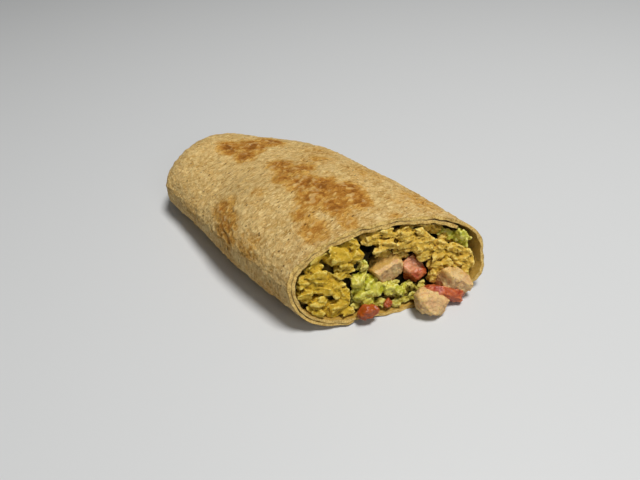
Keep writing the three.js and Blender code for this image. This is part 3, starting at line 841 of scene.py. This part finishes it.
def flesh_material(name, hollow_shade, middle, pale, sauce, share, blotch_size, shade):
    material = new_material(name, 0.5, 0.2, (1, 0.62, 0.25), 0.45)
    tree = material.node_tree
    sockets = {"Hollow Shade": colour(*hollow_shade), "Middle": colour(*middle), "Pale": colour(*pale),
               "Sauce": colour(*sauce), "Sauce Share": share, "Blotch Size": blotch_size,
               "Shade From": shade[0], "Shade To": shade[1]}
    flesh = add_node(tree, "ShaderNodeGroup", sockets, node_tree=SAUCED_FLESH)
    tree.links.new(flesh.outputs["Roughness"], tree.nodes["Principled BSDF"].inputs["Roughness"])
    return coat(material, Value(flesh, "Color"), Value(flesh, "Height"), 0.45)


# The folds that show on the cut: place across and up it, length, width and tilt.
SAUCED_FOLDS = [
    (15.4, 33, 11.7, 3.4, 21), (24.9, 35.5, 7.7, 3.6, -8), (25, 32, 9.9, 8, -8), (32.2, 36.8, 6.8, 6, -28),
    (32.6, 30.6, 6.2, 8, -14), (26.7, 26.8, 8.4, 6.2, -11), (13.4, 28.3, 8.6, 4.2, -11),
    (15.3, 24.4, 9.9, 5.2, -5), (8.2, 23.6, 6, 6.2, -10), (15, 19, 8.8, 5.8, -8), (21.4, 16.2, 8.8, 5, -79),
    (6.8, 18, 6.6, 5, -26), (12, 13.5, 8.3, 5, -12), (18.6, 10, 8.7, 5.4, 0), (11.8, 8.4, 6.7, 3.4, -11),
    (16, 6.2, 9, 4, -4), (22.6, 6.4, 6, 4.2, 8), (8.6, 10.6, 6, 4.4, -30), (20.6, 21.9, 6, 4.4, 20),
    (10.4, 20.5, 6, 4, -30), (21.6, 11, 6, 4.4, -20), (24.8, 23.6, 7, 4.4, -20), (22.8, 19, 5, 4, 10),
    (24.2, 13.8, 5, 4, -70),
]
sauced_material = flesh_material(
    "sauced_shreds", hollow_shade=(124, 92, 8), middle=(200, 162, 26), pale=(242, 220, 116), sauce=(202, 156, 8),
    share=0.42, blotch_size=7.0, shade=(3.4, 8.0))
sauced_pieces = torn_over(
    SAUCED_FOLDS, seed=11, each=4, spread=2.0, sizes=(0.65, 1.05), outs=(-2.3, -0.4), leans=(-12, 30),
    plump=(0.4, 0.7), bend=0.25)
melded_mass("sauced_shreds_torn", "sauced_shreds", sauced_pieces, 0.31, 1.7, {
    "Crag Size": 3.0, "Crag Height": 1.4, "Shred Size": 1.0, "Shred Height": 0.8, "Pit Size": 2.4,
    "Pit Depth": 0.4, "Layering": 0.6, "Seed": 3.0}, sauced_material)

# ---------------------------------------------------------------------------------------------
# The pulled chicken: finer crumbs and threads of chicken in less sauce, packed under the top of the
# sheet and down its far side. It is paler and browner than the shreds, and pitted all over.
# ---------------------------------------------------------------------------------------------
PULLED_CRUMBS = [
    (42.6, 37.6, 8.1, 4.6, -1), (41, 35, 7.4, 4.2, -5), (48.4, 36, 6.6, 4.8, -3), (56, 34.4, 8.8, 4.6, -17),
    (46, 32.2, 9.2, 4.4, -10), (53.6, 29.8, 7.7, 4.4, -5), (57, 31.4, 7.7, 4.6, -9),
    (64.6, 30.6, 7.9, 4.2, -22), (65, 27, 7.9, 5, -10), (62.8, 23.6, 6.4, 5, -3), (71, 25.4, 7.7, 4.8, -28),
    (68.6, 21.2, 7, 5, -9), (75.2, 20, 7.7, 5, -24), (67.5, 17, 7.4, 4.6, -15), (75.4, 16.4, 8.3, 4.6, -19),
    (81, 16.2, 6, 5, -48), (81, 11.6, 5.4, 5.6, -15), (83.4, 19.6, 6, 5, -58), (84.4, 14.4, 5.6, 4.6, -70),
    (78.6, 23.4, 7, 4.4, -34), (59.4, 30.4, 7, 5, 60), (60.6, 27.4, 6, 5, -20), (58, 35.4, 8, 4, -8),
    (63.5, 34, 6, 4, -20), (64.5, 13, 6, 5, -50), (66, 10, 6, 4.4, -30),
]
# The crumbs behind them, in the shade of the sheet, which also take painted shade from how far they lie
# behind the cut, and fill its dark hollow.
SHADED_CRUMBS = [
    (60, 37, 9, 4.6, -6), (67, 36, 9, 4.6, -14), (72, 33, 9, 5, -22), (76, 29, 8, 5, -30),
    (80, 25, 7, 5, -40), (46, 27, 9, 5, 0), (54, 24, 8, 5, -10), (62, 20, 7, 5, -30),
]
pulled_material = flesh_material(
    "pulled_chicken", hollow_shade=(128, 92, 16), middle=(212, 172, 58), pale=(246, 220, 126), sauce=(206, 166, 24),
    share=0.44, blotch_size=6.0, shade=(3.4, 8.0))
pulled_pieces = torn_over(
    PULLED_CRUMBS, seed=23, each=6, spread=2.2, sizes=(0.55, 1.0), outs=(-2.6, -0.4), leans=(-15, 36),
    plump=(0.4, 0.7), bend=0.35)
pulled_pieces += torn_over(
    SHADED_CRUMBS, seed=41, each=5, spread=1.8, sizes=(0.6, 1.0), outs=(-6.2, -4.4), leans=(-15, 36),
    plump=(0.4, 0.7), bend=0.35)
melded_mass("pulled_chicken_torn", "pulled_chicken", pulled_pieces, 0.335, 1.7, {
    "Crag Size": 2.6, "Crag Height": 1.3, "Shred Size": 1.0, "Shred Height": 1.0, "Pit Size": 2.2,
    "Pit Depth": 0.7, "Layering": 0.7, "Seed": 9.0}, pulled_material)

# ---------------------------------------------------------------------------------------------
# The lettuce bed: scraps of lettuce, tomato juice and sauce in the bottom of the roll. Torn scraps
# lie over a soft mass, between the shreds and the chunks.
# ---------------------------------------------------------------------------------------------
BED_SCRAPS = [
    (45.5, 11.6, 7.2, 4, 5), (49, 8, 11.6, 4, -7), (53, 10.6, 5.6, 4, -9), (46.4, 5, 7.4, 3.8, -11),
    (35.2, 24.2, 5, 4.4, 4), (27.5, 8, 6, 3.8, 4), (38, 5.6, 8, 3.6, 0), (33, 6.4, 6, 3.6, -6),
    (53, 6, 7, 3.6, 0), (57, 9, 6, 4, -10), (44, 4.6, 6, 3, 0), (50, 4.2, 7, 3, 4), (56, 4.8, 6, 3.2, -6),
]
# Its core is set well back, where it is painted nearly black: painted shade for the dark hollow.
bed_material = flesh_material(
    "lettuce_bed", hollow_shade=(84, 66, 4), middle=(176, 158, 40), pale=(222, 210, 112), sauce=(176, 132, 16),
    share=0.45, blotch_size=5.0, shade=(3.6, 6.8))
bed_pieces = torn_over(
    BED_SCRAPS, seed=31, each=5, spread=2.0, sizes=(0.45, 0.9), outs=(-5, -0.6), leans=(-30, 50),
    plump=(0.3, 0.55), bend=0.35)
melded_mass("lettuce_bed_scraps", "lettuce_bed", bed_pieces, 0.45, 6.5, {
    "Crag Size": 2.4, "Crag Height": 1.6, "Shred Size": 1.1, "Shred Height": 1.5, "Pit Size": 2.5,
    "Pit Depth": 0.6, "Layering": 0.8, "Seed": 21.0}, bed_material)

# ---------------------------------------------------------------------------------------------
# The chicken chunks: cubes of fried breast meat, cut with a knife. Their faces are pale and close
# grained, their edges golden with crust and painted highlight, and their backs darker and yellower.
# ---------------------------------------------------------------------------------------------
FINE_BALL = ball_points(5)
MEAT = colour(230, 198, 140)
MEAT_PINK = colour(214, 170, 118)
MEAT_FRIED = colour(170, 128, 66)
MEAT_CRUST_AND_HIGHLIGHT = colour(238, 198, 118)
MEAT_BACK_TONE = colour(190, 146, 52)
MEAT_SPECK = colour(96, 66, 40)
BACK_TONE_OVER = 2.5
# Each knife cut is the heading of its face and how far out it passes, the face on the cut first.
CHUNKS = {
    "front": dict(
        size=(17.5, 12.4, 12), square=3.2, rough=0.16, seed=3, spot=(58.4, 3.9, 6), tilt=-14, back=0.4,
        cuts=[((0.1, 0.25, 1), 4.9), ((0.5, 1, 0.3), 5.2), ((1, -0.5, 0.3), 7.4), ((-1, -0.9, 0.2), 7.0)]),
    "centre": dict(
        size=(16.5, 13.6, 13), square=3, rough=0.14, seed=8, spot=(45.3, 20.6, -5), tilt=-8, back=0.8,
        cuts=[((0.25, -0.4, 1), 4.7), ((-0.35, 1, 0.8), 4.9), ((-1, 1, 0.1), 6.2), ((-1, -0.8, 0.4), 7.0),
              ((1, -0.9, 0.1), 7.4)]),
    "right": dict(
        size=(19, 12.6, 12), square=3, rough=0.16, seed=5, spot=(73.4, 8, 0.8), tilt=-30, back=0.5,
        cuts=[((0.1, -0.3, 1), 4.8), ((0.2, 1, 0.7), 5.2), ((1, 0.8, 0.2), 8.2), ((-1, -0.6, 0.4), 7.6)]),
}


def uneven_lump(ball, size, square, rough, seed):
    """A ball pulled towards a block, with four seeded dents round it."""
    draw = seeded_draws(seed * 7919 + 13)
    corners = ball[0] / np.linalg.norm(ball[0], axis=1)[:, None]
    reach = block_reach(corners, square)
    for _ in range(4):
        heading = drawn_heading(draw)
        pace, start = 2.5 + 3 * next(draw), 6 * next(draw)
        reach = reach * (1 + rough / 2 * np.sin(pace * (corners @ heading) + start))[:, None]
    return corners * reach * np.array(size) / 2


def flesh_grain():
    """The close grain of cooked meat, fruit or leaf: soft dents, and fine strands along one heading."""
    tree, given = new_geometry_tree("flesh_grain", [
        "Dent Size", "Dent Height", "Strand Size", "Strand Height", "Strand Stretch", "Seed"])
    place = seeded_place(tree, given["Seed"])
    stretch = value_of(tree, "ShaderNodeCombineXYZ", {0: 1.0, 1: given["Strand Stretch"], 2: 1.0})
    dents = noise_of(place, 1 / given["Dent Size"], 2.0, 0.55, 0.3) - 0.5
    strands = noise_of(place.vector("MULTIPLY", stretch), 1 / given["Strand Size"], 3.0, 0.6) - 0.5
    moved = push_out(given["Geometry"], dents * given["Dent Height"] + strands * given["Strand Height"])
    return close_geometry_tree(tree, given, store(moved, "ridge", proud_of(tree, 12)))


FLESH_GRAIN = flesh_grain()


def chunk_material():
    """Cooked breast meat: pale beige, a pinkish grey on cut faces, golden edges of crust and painted
    highlight, darker and yellower towards its back.
    """
    material = new_material("chicken_chunk", 0.5, 0.3, (1, 0.6, 0.4), 0.4)
    tree = material.node_tree
    place = object_place(tree)
    broad = noise_of(place, 0.16, 3.0, 0.6).ramp(0.38, 0.62)
    fine = noise_of(place, 1.0, 4.0, 0.65)
    patches = attribute_of(tree, "sauced") + (noise_of(place, 0.35, 4.0, 0.6) - 0.5)
    specks = flecks(place, 0.75, 0.16, 0.4)
    # Golden on the edges: partly crust, partly painted highlight.
    base = layered(
        mix(broad, MEAT, MEAT_PINK), (fine.ramp(0.5, 0.72) * 0.6, MEAT_FRIED),
        (attribute_of(tree, "ridge").ramp(0.1, 0.5) * 0.55, MEAT_CRUST_AND_HIGHLIGHT),
        (patches.ramp(0.4, 0.75) * 0.85, MEAT_BACK_TONE), (specks * 0.7, MEAT_SPECK))
    along = value_of(tree, "ShaderNodeMapping", {"Vector": place, "Scale": (1.2, 0.5, 1.2)})
    return coat(material, base, fine + noise_of(along, 1.6, 3.0, 0.6) * 0.8, 0.4)


def lay_down(made):
    """Nothing reaches below what the wrap rests on."""
    made[:, 2] = np.maximum(made[:, 2], 0.0)
    return made


def set_piece(name, node, slot, made, sides, material, sizes, **marks):
    piece = add_piece(name, lay_down(made), sides)
    for mark_name, values in marks.items():
        mark(piece, mark_name, values)
    run_nodes(piece, FLESH_GRAIN, material, sizes)
    stand_for(piece, node)


CHUNK_MATERIAL = chunk_material()
for which, chunk in CHUNKS.items():
    made = uneven_lump(FINE_BALL, chunk["size"], chunk["square"], chunk["rough"], chunk["seed"])
    made = facets(made, 12, chunk["seed"], 0.8, 0.95)
    made = knife_cuts(made, chunk["cuts"])
    # Darker and yellower towards the back of each chunk, away from its face on the cut.
    front = np.array(chunk["cuts"][0][0], float)
    depth = ((made @ front).max() - made @ front) / np.linalg.norm(front)
    sauced = np.clip(depth / BACK_TONE_OVER, 0, 1) * chunk["back"]
    made = stand_on_cut(made, *chunk["spot"], chunk["tilt"])
    set_piece(f"chicken_chunk_{which}_meat", f"chicken_chunk_{which}", "chicken", made, FINE_BALL[1],
              CHUNK_MATERIAL, {
                  "Dent Size": 2.4, "Dent Height": 1.7, "Strand Size": 1.1, "Strand Height": 2.1,
                  "Strand Stretch": 0.7, "Seed": 5.0 * chunk["seed"]}, sauced=sauced)

# ---------------------------------------------------------------------------------------------
# The tomato: dice of ripe tomato, soft and wet. One lies beside the middle chunk, a long one under
# the right chunk, one on the lip of the sheet and a scrap behind it.
# ---------------------------------------------------------------------------------------------
MIDDLE_BALL = ball_points(4)
TOMATO_RED = colour(158, 46, 16)
TOMATO_FLESHY = colour(184, 90, 42)
TOMATO_RIDGE_HIGHLIGHT = colour(216, 130, 78)
TOMATO_DEEP = colour(140, 34, 14)
TOMATO_PALE = colour(222, 158, 112)
SAUCE_RED = colour(150, 48, 2)
SAUCE_ORANGE = colour(178, 92, 6)
TOMATOES = {
    "centre": dict(
        ball=FINE_BALL, size=(10.5, 14, 9), square=2.8, rough=0.14, seed=12, spot=(57.8, 16.8, -4.5),
        tilt=12, orange=0, pale=1,
        cuts=[((0.2, 0.5, 1), 3.6), ((1, 0.4, 0.5), 4.2), ((-1, -0.5, 0.6), 4.4), ((0.1, -1, 0.7), 5.4)]),
    "right": dict(
        ball=FINE_BALL, size=(25, 7, 9), square=2.8, rough=0.1, seed=21, spot=(66.6, 4.8, 3),
        tilt=-22, orange=0, pale=0,
        cuts=[((0.1, 0.6, 1), 3.9), ((1, -0.3, 0.4), 9.6), ((-0.3, 0.7, 1), 4.1)]),
    "lip": dict(
        ball=MIDDLE_BALL, size=(10, 6.4, 6), square=2.6, rough=0.16, seed=17, spot=(30.3, 5.8, 2.6),
        tilt=8, orange=0.85, pale=0,
        cuts=[((0.6, 1, 0.6), 2.7), ((-0.8, 0.9, 0.5), 2.9), ((0.2, -0.2, 1), 2.4)]),
    "bit": dict(
        ball=MIDDLE_BALL, size=(5, 3.6, 4.4), square=2.6, rough=0.14, seed=30, spot=(40.8, 5.4, -1.2),
        tilt=10, orange=0.7, pale=0,
        cuts=[((0.3, 0.6, 1), 1.6), ((1, 0.2, 0.4), 2.0)]),
}


def tomato_material():
    """Wet tomato flesh: dull red with paler, fleshy streaks, painted highlight on its ridges, and an orange
    sheen of sauce.
    """
    material = new_material("tomato_flesh", 0.34, 0.45, (1, 0.32, 0.18), 0.6)
    tree = material.node_tree
    place = object_place(tree)
    ridge, orange, pale = (attribute_of(tree, name) for name in ("ridge", "orange", "pale"))
    broad = noise_of(place, 0.22, 3.0, 0.6, 0.6).ramp(0.36, 0.64)
    fine = noise_of(place, 0.9, 4.0, 0.6)
    # Painted highlight on the ridges.
    base = layered(
        mix(broad, TOMATO_RED, TOMATO_FLESHY), (ridge.ramp(0.0, 0.4) * 0.5, TOMATO_RIDGE_HIGHLIGHT),
        (fine.ramp(0.5, 0.75) * 0.4, TOMATO_DEEP), (orange, mix(fine, SAUCE_RED, SAUCE_ORANGE)),
        (pale * 0.75, TOMATO_PALE))
    return coat(material, base, fine, 0.35)


TOMATO_MATERIAL = tomato_material()
for which, dice in TOMATOES.items():
    made = uneven_lump(dice["ball"], dice["size"], dice["square"], dice["rough"], dice["seed"])
    made = facets(made, 6, dice["seed"], 0.74, 0.94)
    made = knife_cuts(made, dice["cuts"])
    orange = np.full(len(made), dice["orange"])
    pale = smooth(made[:, 1] / np.ptp(made[:, 1]), -0.05, 0.12) * dice["pale"]
    made = stand_on_cut(made, *dice["spot"], dice["tilt"])
    set_piece(f"tomato_{which}_flesh", f"tomato_{which}", "tomato", made, dice["ball"][1], TOMATO_MATERIAL, {
        "Dent Size": 2.4, "Dent Height": 2.6, "Strand Size": 1.2, "Strand Height": 1.6,
        "Strand Stretch": 0.5, "Seed": 3.0 * dice["seed"]}, orange=orange, pale=pale)

# ---------------------------------------------------------------------------------------------
# The lettuce leaves: torn pieces of crisp iceberg, about a millimetre thick, crumpled into ruffled
# bunches. One bunch stands in the middle of the cut, and a smaller one in the far corner.
# ---------------------------------------------------------------------------------------------
LEAF_THICK = 1.1
LEAF_VOXEL = 0.3
LEAF_CRUMPLE = 0.9
LEAF_ROUNDS = 34
LEAF_SPOKES = 110
LEAF_GREEN = colour(178, 176, 34)
LEAF_YELLOW = colour(210, 200, 84)
LEAF_RIDGE_HIGHLIGHT = colour(236, 230, 138)
LEAF_FOLD_SHADE = colour(120, 116, 6)
LEAF_STAIN = colour(196, 150, 34)
# Leaves: place across, up and out of the cut; width, height, depth and number of folds, seed; tilt,
# lean and turn.
CENTRE_LEAVES = [
    ((33.6, 13.8, -2.8), (15, 15, 1.5, 4.2, 4), (-16, 0, 0)),
    ((43.0, 12.2, -2.4), (10, 6, 1.0, 4.2, 48), (-8, 30, -20)),
    ((48.5, 10.6, -1.8), (9, 5, 0.8, 4.2, 59), (4, 45, 10)),
]
CORNER_LEAVES = [
    ((82.6, 25.6, -2.6), (8, 11, 1.2, 4.6, 9), (12, 0, 0)),
    ((82, 28, -1.2), (6.5, 7, 1.0, 4.2, 20), (-30, 30, -30)),
    ((77, 29.2, -4.6), (10, 4, 0.6, 4.2, 31), (-20, 25, -10)),
]
# Crumpled lobes: place across, up and out of the cut, length, width, thickness and tilt.
CENTRE_LOBES = [
    (32.0, 19.0, -2.4, 10, 8.6, 6, 20), (32.4, 12.4, -1.6, 8.4, 8, 5.4, -20),
    (37.8, 13.2, -1.6, 8, 8, 5.4, 40), (35.4, 23.6, -4.0, 4, 7, 3.4, 0), (34.8, 16.2, -1.2, 6.4, 5, 5, 60),
    (31.6, 8.6, -1.4, 5.6, 4.4, 4.4, 0), (43.6, 11.4, -1.6, 7, 4.4, 3.6, 5),
    (48.6, 9.8, -1.0, 6, 3.8, 3.2, -10),
]
CORNER_LOBES = [
    (83, 26, -2.8, 5, 8, 4, 10), (81.6, 28.6, -2, 5, 4, 3.4, -30), (83.4, 22.6, -2.6, 4, 4.4, 3.4, 0),
]


def leaf_disc(wide, tall, fold, folds, seed):
    """A torn leaf, flat at first: thrown into broad folds, crumpled all over, and ruffled at its rim."""
    draw = seeded_draws(seed)
    phase = 6 * next(draw)
    tilt = next(draw) - 0.5
    points = []
    for step in range(LEAF_ROUNDS + 1):
        out = step / LEAF_ROUNDS
        for spoke in range(LEAF_SPOKES if step else 1):
            angle = 2 * math.pi * spoke / LEAF_SPOKES
            rag = 1 + 0.06 * math.sin(3 * angle + phase) + 0.04 * math.sin(7 * angle)
            rag += 0.10 * noise.noise((3 * math.cos(angle), 3 * math.sin(angle), seed)) * out ** 3
            reach = out * rag
            u, v = reach * math.cos(angle), reach * math.sin(angle)
            wave = math.sin(folds * u + 1.4 * v + phase) + 0.6 * math.sin(folds * v - 2 * u * tilt + 1)
            depth = fold * wave * (0.45 + 0.55 * reach)
            spot = Vector((u * wide / 2, v * tall / 2, seed * 3.7))
            depth += LEAF_CRUMPLE * (noise.noise(spot * 0.22) * 3 + abs(noise.noise(spot * 0.36)) * 2.4)
            depth += reach ** 3 * math.sin(9 * angle + 3 * math.sin(2 * angle + phase))
            pull_u = LEAF_CRUMPLE * noise.noise(spot * 0.4 + Vector((9, 0, 0)))
            pull_v = LEAF_CRUMPLE * noise.noise(spot * 0.4 + Vector((0, 9, 0)))
            points.append((u * wide / 2 + pull_u, v * tall / 2 + pull_v, depth))

    def at(step, spoke):
        return 0 if step == 0 else 1 + (step - 1) * LEAF_SPOKES + spoke % LEAF_SPOKES

    faces = []
    for spoke in range(LEAF_SPOKES):
        faces.append((0, at(1, spoke), at(1, spoke + 1)))
        for step in range(1, LEAF_ROUNDS):
            faces.append((at(step, spoke), at(step + 1, spoke), at(step + 1, spoke + 1), at(step, spoke + 1)))
    return np.array(points), faces


def lettuce_material():
    """Iceberg lettuce: yellow-green, with painted highlight along its ridges and painted shade in its folds,
    wet and translucent.
    """
    material = new_material("lettuce_leaf", 0.34, 0.4, (0.7, 1, 0.25), 0.5)
    tree = material.node_tree
    place = object_place(tree)
    ridge = attribute_of(tree, "ridge")
    broad = noise_of(place, 0.2, 3.0, 0.6, 0.8).ramp(0.36, 0.62)
    fine = noise_of(place, 0.9, 4.0, 0.6, 0.4)
    # Painted highlight on the ridges and painted shade in the folds.
    base = layered(
        mix(broad, LEAF_GREEN, LEAF_YELLOW), (ridge.ramp(0.0, 0.35) * 0.6, LEAF_RIDGE_HIGHLIGHT),
        (ridge.ramp(-0.05, -0.4) * 0.5, LEAF_FOLD_SHADE), (fine.ramp(0.52, 0.72) * 0.35, LEAF_STAIN))
    return coat(material, base, fine, 0.16)


LETTUCE_MATERIAL = lettuce_material()


def set_bunch(name, node, leaves, lobes):
    """Torn leaves and thicker crumpled lobes, melted into one bunch."""
    torn = []
    for spot, shape, pose in leaves:
        made, sides = leaf_disc(*shape)
        torn.append((stand_on_cut(made, *spot, *pose), sides))
    points, faces = join_meshes(torn)
    bunch = add_piece(name, lay_down(points), faces)
    thicken = bunch.modifiers.new("thickness", "SOLIDIFY")
    thicken.thickness = LEAF_THICK * MM
    thicken.offset = 0
    finish_modifiers(bunch)
    rng = random.Random(len(lobes) * 5 + 1)
    crumpled = []
    for y, z, out, long, wide, thick, tilt in lobes:
        made, sides = torn_piece(rng, long, wide, thick, 3.6, 0.1, 0.35)
        lean, turn = (rng.uniform(-TURN_SPREAD, TURN_SPREAD) for _ in range(2))
        crumpled.append((stand_on_cut(made, y, z, out, tilt, lean, turn), sides))
    points, faces = join_meshes(crumpled)
    take_in(bunch, add_piece(name + "_lobes", lay_down(points), faces))
    meld(bunch, LEAF_VOXEL, 1)
    shade_smooth(bunch)
    run_nodes(bunch, FLESH_GRAIN, LETTUCE_MATERIAL, {
        "Dent Size": 2.6, "Dent Height": 1.6, "Strand Size": 1.3, "Strand Height": 0.7,
        "Strand Stretch": 0.8, "Seed": 2.0})
    stand_for(bunch, node)


set_bunch("lettuce_bunch_centre", "lettuce_leaf_centre", CENTRE_LEAVES, CENTRE_LOBES)
set_bunch("lettuce_bunch_corner", "lettuce_leaf_corner", CORNER_LEAVES, CORNER_LOBES)

# ---------------------------------------------------------------------------------------------
# The stage: a plain pale floor, a broad soft light from above and behind, a softer one beside the
# camera, and a camera at the photograph's own viewing angle.
# ---------------------------------------------------------------------------------------------
CAMERA_PLACE = (Vector((135.343, -93.724, 191.25)) + Vector(SHIFT)) * MM
CAMERA_RIGHT = Vector((0.63248, 0.77411, -0.02679))
CAMERA_UP = Vector((-0.47594, 0.41569, 0.77503))
LENS = 30.88
FLOOR_REACH = 3.0
FLOOR_GREY = (0.64, 0.652, 0.66, 1)
FLOOR_ROUGHNESS = 0.55
SKY_GREY = (0.94, 0.97, 1.0, 1)
SKY_STRENGTH = 0.08


def soft_light(name, place, target, size, watts, tint):
    data = bpy.data.lights.new(name, "AREA")
    data.shape = "DISK"
    data.size = size
    data.energy = watts
    data.color = tint
    lamp = bpy.data.objects.new(name, data)
    bpy.context.scene.collection.objects.link(lamp)
    lamp.location = place
    lamp.rotation_euler = (Vector(target) - Vector(place)).to_track_quat("-Z", "Y").to_euler()


soft_light("key", (0.32, 0.16, 1.36), (0, 0, 0), 0.45, 18.0, (1, 0.985, 0.96))
soft_light("fill", (1.0, -0.2, 0.7), (0, 0, 0.02), 0.6, 1.9, (0.97, 0.99, 1))

floor_mesh = bpy.data.meshes.new("floor")
corners = [(x * FLOOR_REACH, y * FLOOR_REACH, 0) for x, y in ((-1, -1), (1, -1), (1, 1), (-1, 1))]
floor_mesh.from_pydata(corners, [], [(0, 1, 2, 3)])
floor = bpy.data.objects.new("floor", floor_mesh)
bpy.context.scene.collection.objects.link(floor)
floor_material = bpy.data.materials.new("pale_floor")
floor_material.use_nodes = True
floor_shader = floor_material.node_tree.nodes["Principled BSDF"]
floor_shader.inputs["Base Color"].default_value = FLOOR_GREY
floor_shader.inputs["Roughness"].default_value = FLOOR_ROUGHNESS
floor_mesh.materials.append(floor_material)

world = bpy.data.worlds.new("studio")
world.use_nodes = True
world.node_tree.nodes["Background"].inputs["Color"].default_value = SKY_GREY
world.node_tree.nodes["Background"].inputs["Strength"].default_value = SKY_STRENGTH
bpy.context.scene.world = world
bpy.context.scene.view_settings.view_transform = "Standard"

camera_data = bpy.data.cameras.new("camera")
camera_data.lens = LENS
camera_data.sensor_width = 36
camera_data.clip_start = 0.01
camera = bpy.data.objects.new("camera", camera_data)
bpy.context.scene.collection.objects.link(camera)
camera_turn = Matrix((CAMERA_RIGHT, CAMERA_UP, CAMERA_RIGHT.cross(CAMERA_UP))).transposed()
camera.matrix_world = Matrix.Translation(CAMERA_PLACE) @ camera_turn.to_4x4()
bpy.context.scene.camera = camera
